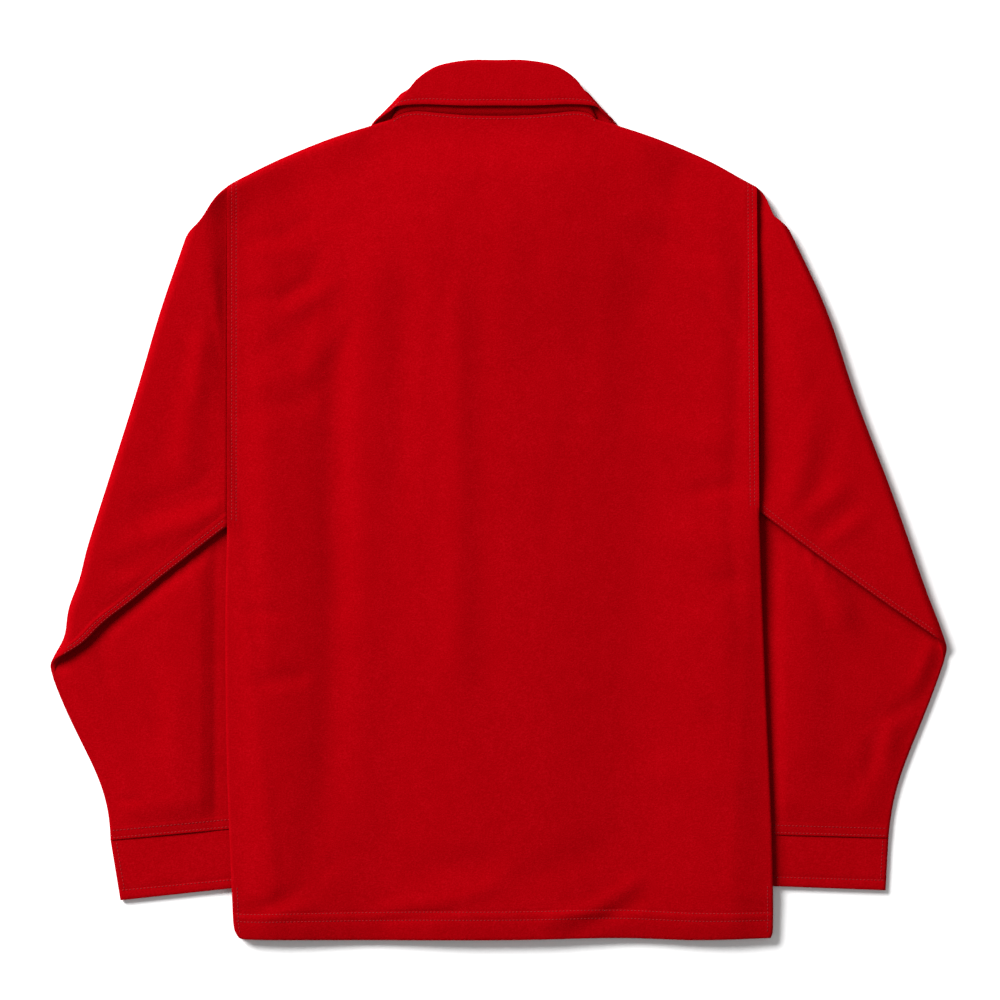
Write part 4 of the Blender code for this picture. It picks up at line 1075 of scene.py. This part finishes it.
def collar_lines():
    """Middle lines of the cloth at each station: the fall with its roll, and the stand."""
    leans, rolls, (folds, edges, necks), sides = collar_stations()
    falls, stands, fall_offsets, stand_offsets = [], [], [], []
    for lean, roll, fold, edge, neck, side in zip(leans, rolls, folds, edges, necks, sides):
        neck = neck + np.array([0, 0, collar_lap(neck)])
        run = unit((edge - fold) * (1, 1, 0))
        outward = side * np.array([-run[1], run[0], 0])
        normal = math.cos(lean) * np.array([0, 0, 1.0]) + math.sin(lean) * outward
        inward = unit(edge - fold) + unit(neck - fold)
        inward = unit(inward - normal * (inward @ normal))
        centre = fold + inward * (roll + FALL_CLOTH / 2)
        angles = np.linspace(0, math.pi, COLLAR_TURNS + 1)[:, None]
        around = np.cos(angles) * normal - np.sin(angles) * inward
        turns = centre + roll * around
        steps = np.array(FALL_STEPS)[:, None]
        falls.append(np.vstack([edge + (turns[0] - edge) * steps, turns]))
        start = turns[-1] + unit(neck - turns[-1]) * COLLAR_SEAM
        stands.append(start + (neck - start) * np.linspace(0, 1, STAND_DOWN + 1)[:, None])
        binormal = np.cross(inward, normal)
        flat = [unit(np.cross(turns[0] - edge, binormal))] * len(steps)
        fall_offsets.append(np.vstack([flat, around]))
        stand_offsets.append([unit(np.cross(binormal, neck - start))] * (STAND_DOWN + 1))
    return (np.array(falls), np.array(fall_offsets)), (np.array(stands), np.array(stand_offsets))


def collar_lap(place):
    """The right half of the collar follows its front over the left front's lap."""
    hem_x = place[0] + COLLAR_SLANT
    if hem_x < LAP_EDGE_RIGHT or place[1] > COLLAR_LAP_TOP or place[0] < COLLAR[-1].middle:
        return 0.0
    return float(LAP_LIFT * lap_share(hem_x))


def wall_from_lines(name, lines, offsets, thick, row, wool):
    """A wall round the middle lines of its stations. Its first edge is rounded and stitched."""
    reach = offsets * thick / 2
    steps = np.linalg.norm(np.diff(lines, axis=1), axis=-1)
    along_wall = np.concatenate([np.zeros((len(lines), 1)), np.cumsum(steps, axis=1)], axis=1)
    thin = EDGE_THIN + (1 - EDGE_THIN) * smooth(along_wall / EDGE_THIN_WIDTH)
    reach = reach * (thin - groove(along_wall, row) * 2 / thick)[..., None]
    faces = lines + reach, lines - reach
    return shell(name, np.concatenate([faces[0], faces[1][:, ::-1]], axis=1), False, wool)


def make_collar(wool):
    fall, stand = collar_lines()
    return (
        wall_from_lines("wool_collar_fall", *fall, FALL_CLOTH, (COLLAR_ROW,), wool),
        wall_from_lines("wool_collar_stand", *stand, STAND_CLOTH, (), wool),
    )


# Buttons


def button_places():
    """Down the middle of the lap, which slants as the jacket lies."""
    places = []
    for k in range(BUTTON_COUNT):
        y = BUTTON_TOP - k * BUTTON_SPACING
        places.append((BUTTON_HEM_X - COLLAR_SLANT * (y + HALF_LENGTH) / (2 * HALF_LENGTH), y))
    return places


# Stitches


class Surface:
    """Finds places on a piece of cloth."""

    def __init__(self, obj):
        mesh = obj.data
        points = [v.co.copy() for v in mesh.vertices]
        self.tree = BVHTree.FromPolygons(points, [p.vertices[:] for p in mesh.polygons])

    def seen(self, x, y, sign):
        """Place and normal on the cloth straight below a plan place, or straight above it."""
        start = Vector((x * MM, y * MM, sign * 0.1))
        place, normal = self.tree.ray_cast(start, Vector((0, 0, -sign)))[:2]
        return place, normal

    def near(self, point):
        place, normal = self.tree.find_nearest(Vector(point) * MM)[:2]
        return place, normal


def spaced(path, pitch, span):
    """Starts and ends of the stitches along a path."""
    line = Outline(path, soft=False)
    count = max(1, int(line.length / pitch))
    starts = (np.arange(count) + 0.5) * line.length / count - span / 2
    return line(starts / line.length), line((starts + span) / line.length)


def stitch_ends(surface, path, sign):
    ends = []
    for a, b in zip(*spaced(path, STITCH_PITCH, STITCH_SPAN)):
        if len(a) == 3:
            first, last = surface.near(a), surface.near(b)
        else:
            first, last = surface.seen(*a, sign), surface.seen(*b, sign)
        if first[0] is None or last[0] is None:
            continue
        if (last[0] - first[0]).length > 2 * STITCH_SPAN * MM:
            continue
        ends.append((*first, *last))
    return ends


def thread_piece(name, ends, finish):
    """One mesh of short threads, each a soft bar whose ends go into the cloth."""
    data = np.array([[tuple(v) for v in row] for row in ends])
    a, up_a, b, up_b = (data[:, k] for k in range(4))
    up = unit(up_a + up_b)
    across = np.cross(unit(b - a), up)
    shares, lift, size = np.array(THREAD_RINGS).T
    lift = lift * MM
    size = size * THREAD / 2 * MM
    turn = np.arange(THREAD_SIDES) * math.tau / THREAD_SIDES
    centre = a[:, None] + (b - a)[:, None] * shares[None, :, None]
    centre = centre + up[:, None] * lift[None, :, None]
    wheel = (
        np.cos(turn)[None, None, :, None] * across[:, None, None]
        + np.sin(turn)[None, None, :, None] * up[:, None, None]
    )
    points = (centre[:, :, None] + wheel * size[None, :, None, None]).reshape(-1, 3)
    faces = []
    rings, sides = len(shares), len(turn)
    for r in range(rings - 1):
        for s in range(sides):
            n = (s + 1) % sides
            low, high = r * sides, (r + 1) * sides
            faces.append((low + s, high + s, high + n, low + n))
    caps = [tuple(range(sides)), tuple(range(rings * sides - 1, (rings - 1) * sides - 1, -1))]
    all_faces = []
    for k in range(len(data)):
        shift = k * rings * sides
        all_faces += [tuple(v + shift for v in f) for f in faces + caps]
    mesh = bpy.data.meshes.new(name)
    mesh.from_pydata(points.tolist(), [], all_faces)
    mesh.shade_smooth()
    mesh.materials.append(finish)
    return placed(name, mesh)


def armhole_path(side, row):
    """Plan path of a row of stitches beside a side of the back."""
    ups = np.linspace(0, 1, 400)
    share = row / WIDTH if side == 0 else 1 - row / WIDTH
    x, y = panel_plan(np.full_like(ups, share), ups, top_outline(PANELS[0]))
    keep = y > SLEEVES[side].underarm[1] + 4
    return np.stack([x, y], -1)[keep]


def hem_path(panel, row):
    inset = 3.0 / WIDTH
    shares = np.linspace(panel.start + inset, panel.end - inset, 200)
    up = np.full_like(shares, row / SIDES[0].length)
    return np.stack(panel_plan(shares, up, top_outline(panel)), -1)


def front_edge_path(panel, row):
    share = panel.end - row / WIDTH if panel.side < 0 else panel.start + row / WIDTH
    ups = np.linspace(0.004, 0.86, 300)
    return np.stack(panel_plan(np.full_like(ups, share), ups, top_outline(panel)), -1)


def side_hem_path(side):
    """The short row up the side from the hem."""
    ups = np.linspace(6, 50, 30) / SIDES[0].length
    share = SIDE_HEM_ROW / WIDTH if side == 0 else 1 - SIDE_HEM_ROW / WIDTH
    return np.stack(panel_plan(np.full_like(ups, share), ups, top_outline(PANELS[0])), -1)


def underarm_path(sleeve, row):
    frame_of = SleeveFrame(sleeve)
    points = []
    for start, end, kind, _ in sleeve_stations(frame_of):
        if kind == "upper":
            p, q = end - unit(end - start) * row
            points.append([float(v) for v in frame_of.plan(np.array(p), np.array(q))])
    return points[1:]


def wrist_path(sleeve, row):
    """Along the cuff's seam, up the forearm from it by row, or down the cuff where row is < 0."""
    wrist = np.array([sleeve.wrist_in, sleeve.wrist_out])
    run = unit(wrist[1] - wrist[0])
    up = np.array([-run[1], run[0]])
    up = up * np.sign(up @ (np.array(sleeve.elbow) - wrist[1]))
    ends = wrist + up * row
    return [ends[0] + run * WRIST_INSET, ends[1] - run * WRIST_INSET]


def cuff_side_path(sleeve, row):
    wrist, end = np.array(sleeve.wrist_out), np.array(sleeve.cuff_out)
    inward = unit(np.array(sleeve.wrist_in) - wrist) * row
    down = unit(end - wrist)
    return [wrist + inward + down * 2, end + inward - down * CUFF_EDGE_ROW]


def fall_path(lines, offsets, row, side):
    points = []
    for line, offset in zip(lines, offsets):
        lengths = np.concatenate([[0], np.cumsum(np.linalg.norm(np.diff(line, axis=0), axis=1))])
        at = [np.interp(row, lengths, line[:, k]) for k in range(3)]
        normal = [np.interp(row, lengths, offset[:, k]) for k in range(3)]
        points.append(np.array(at) + side * np.array(normal) * FALL_CLOTH / 2)
    return points


def neck_path(row):
    """Along the back's neck edge."""
    shares = np.linspace(corner_shares()[0], corner_shares()[1], 200)
    up = np.full_like(shares, 1 - row / SIDES[0].length)
    return np.stack(panel_plan(shares, up, top_outline(PANELS[0])), -1)


# Finishes


def nodes_of(name):
    made = bpy.data.materials.new(name)
    made.use_nodes = True
    tree = made.node_tree
    return made, tree, tree.nodes["Principled BSDF"]


def noise(tree, scale, detail, place, stretch=(1, 1, 1), roughness=0.5):
    mapping = tree.nodes.new("ShaderNodeMapping")
    mapping.inputs["Scale"].default_value = stretch
    tree.links.new(place, mapping.inputs["Vector"])
    texture = tree.nodes.new("ShaderNodeTexNoise")
    texture.inputs["Scale"].default_value = scale
    texture.inputs["Detail"].default_value = detail
    texture.inputs["Roughness"].default_value = roughness
    tree.links.new(mapping.outputs["Vector"], texture.inputs["Vector"])
    return texture.outputs["Fac"]


def ranged(tree, value, low, high, to_low, to_high):
    node = tree.nodes.new("ShaderNodeMapRange")
    tree.links.new(value, node.inputs["Value"])
    ends = {"From Min": low, "From Max": high, "To Min": to_low, "To Max": to_high}
    for name, number in ends.items():
        node.inputs[name].default_value = number
    return node.outputs["Result"]


def maths(tree, kind, a, b):
    node = tree.nodes.new("ShaderNodeMath")
    node.operation = kind
    for socket, value in zip(node.inputs, (a, b)):
        if isinstance(value, (int, float)):
            socket.default_value = value
        else:
            tree.links.new(value, socket)
    return node.outputs["Value"]


def tinted(tree, value, stops):
    ramp_node = tree.nodes.new("ShaderNodeValToRGB")
    elements = ramp_node.color_ramp.elements
    while len(elements) < len(stops):
        elements.new(0.5)
    for element, (at, colour) in zip(elements, stops):
        element.position = at
        element.color = (*colour, 1)
    tree.links.new(value, ramp_node.inputs["Fac"])
    return ramp_node.outputs["Color"]


def bumped(tree, shader, height, strength, distance):
    bump = tree.nodes.new("ShaderNodeBump")
    bump.inputs["Strength"].default_value = strength
    bump.inputs["Distance"].default_value = distance
    tree.links.new(height, bump.inputs["Height"])
    tree.links.new(bump.outputs["Normal"], shader.inputs["Normal"])


def wool_finish():
    """Milled red wool: a felted grain with pale fibre ends, a soft mottle and a raised nap."""
    made, tree, shader = nodes_of("milled_wool")
    place = tree.nodes.new("ShaderNodeTexCoord").outputs["Object"]
    wide = noise(tree, 9, 2, place)
    mottle = noise(tree, 75, 3, place, (1, 0.8, 1))
    grain = noise(tree, 620, 3, place, (1, 1.25, 1), 0.62)
    fleck = noise(tree, 1150, 1, place)
    tone = maths(tree, "ADD", ranged(tree, wide, 0.3, 0.7, -0.03, 0.03), 0.5)
    tone = maths(tree, "ADD", tone, ranged(tree, mottle, 0.3, 0.7, -0.05, 0.05))
    tone = maths(tree, "ADD", tone, ranged(tree, grain, 0.3, 0.7, -0.26, 0.26))
    tone = maths(tree, "ADD", tone, ranged(tree, fleck, 0.62, 0.78, 0.0, 0.35))
    colour = tinted(
        tree,
        tone,
        (
            (0.0, (0.176, 0.0001, 0.0012)),
            (0.5, (0.235, 0.0002, 0.0017)),
            (1.0, (0.318, 0.0015, 0.0046)),
        ),
    )
    tree.links.new(colour, shader.inputs["Base Color"])
    tree.links.new(ranged(tree, grain, 0.3, 0.7, 0.86, 1.0), shader.inputs["Roughness"])
    height = maths(tree, "ADD", grain, maths(tree, "MULTIPLY", mottle, 0.6))
    bumped(tree, shader, height, 0.55, 0.0005)
    shader.inputs["Specular IOR Level"].default_value = 0.0
    shader.inputs["Sheen Weight"].default_value = 0.062
    shader.inputs["Sheen Roughness"].default_value = 0.5
    shader.inputs["Sheen Tint"].default_value = (1.0, 0.012, 0.04, 1)
    return made


def thread_finish():
    made, tree, shader = nodes_of("red_thread")
    place = tree.nodes.new("ShaderNodeTexCoord").outputs["Object"]
    strands = noise(tree, 1800, 2, place)
    colour = tinted(tree, strands, ((0.3, (0.17, 0.001, 0.003)), (0.7, (0.28, 0.003, 0.006))))
    tree.links.new(colour, shader.inputs["Base Color"])
    tree.links.new(ranged(tree, strands, 0.3, 0.7, 0.55, 0.8), shader.inputs["Roughness"])
    shader.inputs["Specular IOR Level"].default_value = 0.25
    return made


def horn_finish():
    made, tree, shader = nodes_of("red_horn")
    place = tree.nodes.new("ShaderNodeTexCoord").outputs["Object"]
    cloud = noise(tree, 120, 4, place, (1, 2.2, 1))
    colour = tinted(
        tree,
        cloud,
        ((0.3, (0.10, 0.003, 0.006)), (0.52, (0.24, 0.006, 0.012)), (0.72, (0.38, 0.03, 0.03))),
    )
    tree.links.new(colour, shader.inputs["Base Color"])
    tree.links.new(ranged(tree, cloud, 0.3, 0.7, 0.22, 0.4), shader.inputs["Roughness"])
    bumped(tree, shader, cloud, 0.15, 0.0002)
    shader.inputs["Coat Weight"].default_value = 0.3
    shader.inputs["Coat Roughness"].default_value = 0.15
    return made


# Buttons

# Half section of a button from its middle, face down: radius and height above its face
BUTTON_SECTION = (
    (0.0, 0.85),
    (5.2, 0.85),
    (6.2, 0.75),
    (7.2, 0.35),
    (8.0, 0.06),
    (8.8, 0.0),
    (9.8, 0.05),
    (10.6, 0.3),
    (10.95, 0.75),
    (10.9, 1.3),
    (10.3, 1.85),
    (9.2, 2.15),
    (8.0, 2.2),
    (0.0, 2.2),
)
HOLE_RADIUS = 0.95
HOLE_OUT = 2.2
BUTTON_ROUND = 64
BAR_LIFT = 0.75  # the threads across the holes, above the button's face
BAR_SHIFT = 0.28


def button_mesh(horn):
    """A four-hole button with a raised rim and a dished middle."""
    turn = np.arange(BUTTON_ROUND) * math.tau / BUTTON_ROUND
    section = BUTTON_SECTION[1:-1]
    points = [(r * math.cos(t), r * math.sin(t), z) for r, z in section for t in turn]
    points += [(0, 0, BUTTON_SECTION[0][1]), (0, 0, BUTTON_SECTION[-1][1])]
    faces = []
    for r in range(len(section) - 1):
        for k in range(BUTTON_ROUND):
            n = (k + 1) % BUTTON_ROUND
            low, high = r * BUTTON_ROUND, (r + 1) * BUTTON_ROUND
            faces.append((low + k, high + k, high + n, low + n))
    bottom, top = len(points) - 2, len(points) - 1
    last = (len(section) - 1) * BUTTON_ROUND
    for k in range(BUTTON_ROUND):
        n = (k + 1) % BUTTON_ROUND
        faces.append((bottom, k, n))
        faces.append((top, last + n, last + k))
    mesh = bpy.data.meshes.new("button_form")
    mesh.from_pydata([[v * MM for v in p] for p in points], [], faces)
    blank = placed("button_form", mesh)
    cutters = []
    for x, y in ((1, 1), (1, -1), (-1, 1), (-1, -1)):
        side = HOLE_OUT / math.sqrt(2) * MM
        bpy.ops.mesh.primitive_cylinder_add(
            vertices=20, radius=HOLE_RADIUS * MM, depth=0.01, location=(x * side, y * side, 0)
        )
        cutters.append(bpy.context.object)
        cut = blank.modifiers.new("hole", "BOOLEAN")
        cut.operation = "DIFFERENCE"
        cut.solver = "EXACT"
        cut.object = cutters[-1]
    evaluated = blank.evaluated_get(bpy.context.evaluated_depsgraph_get())
    done = bpy.data.meshes.new_from_object(evaluated)
    for obj in [blank, *cutters]:
        bpy.data.objects.remove(obj)
    done.shade_smooth()
    done.set_sharp_from_angle(angle=math.radians(38))
    done.materials.clear()
    done.materials.append(horn)
    return done


def thread_bars(place, low):
    """Ends of the threads that cross a button's face between its holes."""
    side = HOLE_OUT / math.sqrt(2)
    ends = []
    for sign in (1, -1):
        for shift in (-BAR_SHIFT, BAR_SHIFT):
            y, z = place[1] + sign * side + shift, low + BAR_LIFT
            a = Vector((place[0] - side, y, z)) * MM
            b = Vector((place[0] + side, y, z)) * MM
            ends.append((a, Vector((0, 0, -1)), b, Vector((0, 0, -1))))
    return ends


def make_buttons(horn, thread):
    mesh = button_mesh(horn)
    ends = []
    for number, place in enumerate(button_places(), 1):
        low = float(body_lift(np.array(place[0]), np.array(place[1])))
        obj = placed(f"horn_button_{number}", mesh.copy())
        obj.location = (place[0] * MM, place[1] * MM, low * MM)
        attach(obj, "root")
        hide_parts(f"button_{number}")
        ends += thread_bars(place, low)
    threads = thread_piece("button_threads", ends, thread)
    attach(threads, "root")


# Floor, lights and camera, in metres

CAMERA_HEIGHT = 6.0
VIEW_WIDTH = 0.95
VIEW_MIDDLE = (0.0019, 0.0)
SENSOR = 36.0
FLOOR_REACH = 3.0
FLOOR_HEIGHT = -0.0006
WORLD_LIGHT = 0.3
Lamp = namedtuple("Lamp", "name place size power")
LAMPS = (
    Lamp("key_light", (-3.87, 3.6, 3.51), 3.96, 1115.0),
    Lamp("fill_light", (1.6, -0.6, 2.6), 2.2, 8.0),
)


def studio():
    scene = bpy.context.scene
    scene.view_settings.view_transform = "Standard"
    world = bpy.data.worlds.new("studio")
    scene.world = world
    world.use_nodes = True
    background = world.node_tree.nodes["Background"]
    background.inputs["Color"].default_value = (1, 1, 1, 1)
    background.inputs["Strength"].default_value = WORLD_LIGHT
    for lamp in LAMPS:
        light = bpy.data.lights.new(lamp.name, "AREA")
        light.shape = "DISK"
        light.size = lamp.size
        light.energy = lamp.power
        obj = placed(lamp.name, light)
        obj.location = lamp.place
        obj.rotation_euler = (-Vector(lamp.place)).to_track_quat("-Z", "Y").to_euler()
    floor_mesh = bpy.data.meshes.new("floor")
    signs = ((-1, -1), (1, -1), (1, 1), (-1, 1))
    corners = [(a * FLOOR_REACH, b * FLOOR_REACH, FLOOR_HEIGHT) for a, b in signs]
    floor_mesh.from_pydata(corners, [], [(0, 1, 2, 3)])
    floor = placed("floor", floor_mesh)
    made, tree, shader = nodes_of("floor_paper")
    place = tree.nodes.new("ShaderNodeTexCoord").outputs["Object"]
    greys = ((0.3, (0.9, 0.9, 0.9)), (0.7, (0.92, 0.92, 0.92)))
    paper = tinted(tree, noise(tree, 400, 2, place), greys)
    tree.links.new(paper, shader.inputs["Base Color"])
    shader.inputs["Roughness"].default_value = 1.0
    shader.inputs["Specular IOR Level"].default_value = 0.0
    floor_mesh.materials.append(made)
    camera = bpy.data.cameras.new("camera")
    camera.sensor_width = SENSOR
    camera.lens = SENSOR * CAMERA_HEIGHT / VIEW_WIDTH
    camera.clip_end = 50
    holder = placed("camera", camera)
    holder.location = (*VIEW_MIDDLE, CAMERA_HEIGHT)
    scene.camera = holder


# Making

studio()
wool, thread, horn = wool_finish(), thread_finish(), horn_finish()
cloth = {panel.name: make_panel(panel, wool) for panel in PANELS}
for sleeve in SLEEVES:
    cloth[f"sleeve_{sleeve.name}"] = make_sleeve(sleeve, wool)
    cloth[f"cuff_{sleeve.name}"] = make_cuff(sleeve, wool)
cloth["collar_fall"], cloth["collar_stand"] = make_collar(wool)
for node, obj in cloth.items():
    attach(obj, "root")
    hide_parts(node)
make_buttons(horn, thread)

surfaces = {name: Surface(obj) for name, obj in cloth.items()}
rows = {name: [] for name in cloth}
for side in (0, 1):
    rows["back"] += [(armhole_path(side, row), 1) for row in ARMHOLE_ROWS]
    rows["back"].append((side_hem_path(side), 1))
rows["back"] += [(hem_path(PANELS[0], row), 1) for row in HEM_ROWS]
rows["back"].append((neck_path(NECK_ROW), 1))
for panel in PANELS[1:]:
    rows[panel.name] += [(hem_path(panel, row), -1) for row in HEM_ROWS]
rows["front_left"].append((front_edge_path(PANELS[1], FRONT_ROW), -1))
for sleeve in SLEEVES:
    sleeve_rows = rows[f"sleeve_{sleeve.name}"]
    cuff_rows = rows[f"cuff_{sleeve.name}"]
    sleeve_rows += [(underarm_path(sleeve, row), 1) for row in UNDERARM_ROWS]
    for sign in (1, -1):
        sleeve_rows += [(wrist_path(sleeve, row), sign) for row in CUFF_SEAM_ROWS]
        depth = np.linalg.norm(np.array(sleeve.cuff_out) - np.array(sleeve.wrist_out))
        cuff_rows.append((wrist_path(sleeve, CUFF_EDGE_ROW - depth), sign))
        cuff_rows.append((cuff_side_path(sleeve, CUFF_SIDE_ROW), sign))
fall_lines = collar_lines()[0]
for side in (1, -1):
    rows["collar_fall"].append((fall_path(*fall_lines, COLLAR_ROW, side), 1))

seams = {}
for name, paths in rows.items():
    ends = [e for path, sign in paths for e in stitch_ends(surfaces[name], path, sign)]
    if ends:
        seams[name] = thread_piece(f"stitches_{name}", ends, thread)
        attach(seams[name], "root")
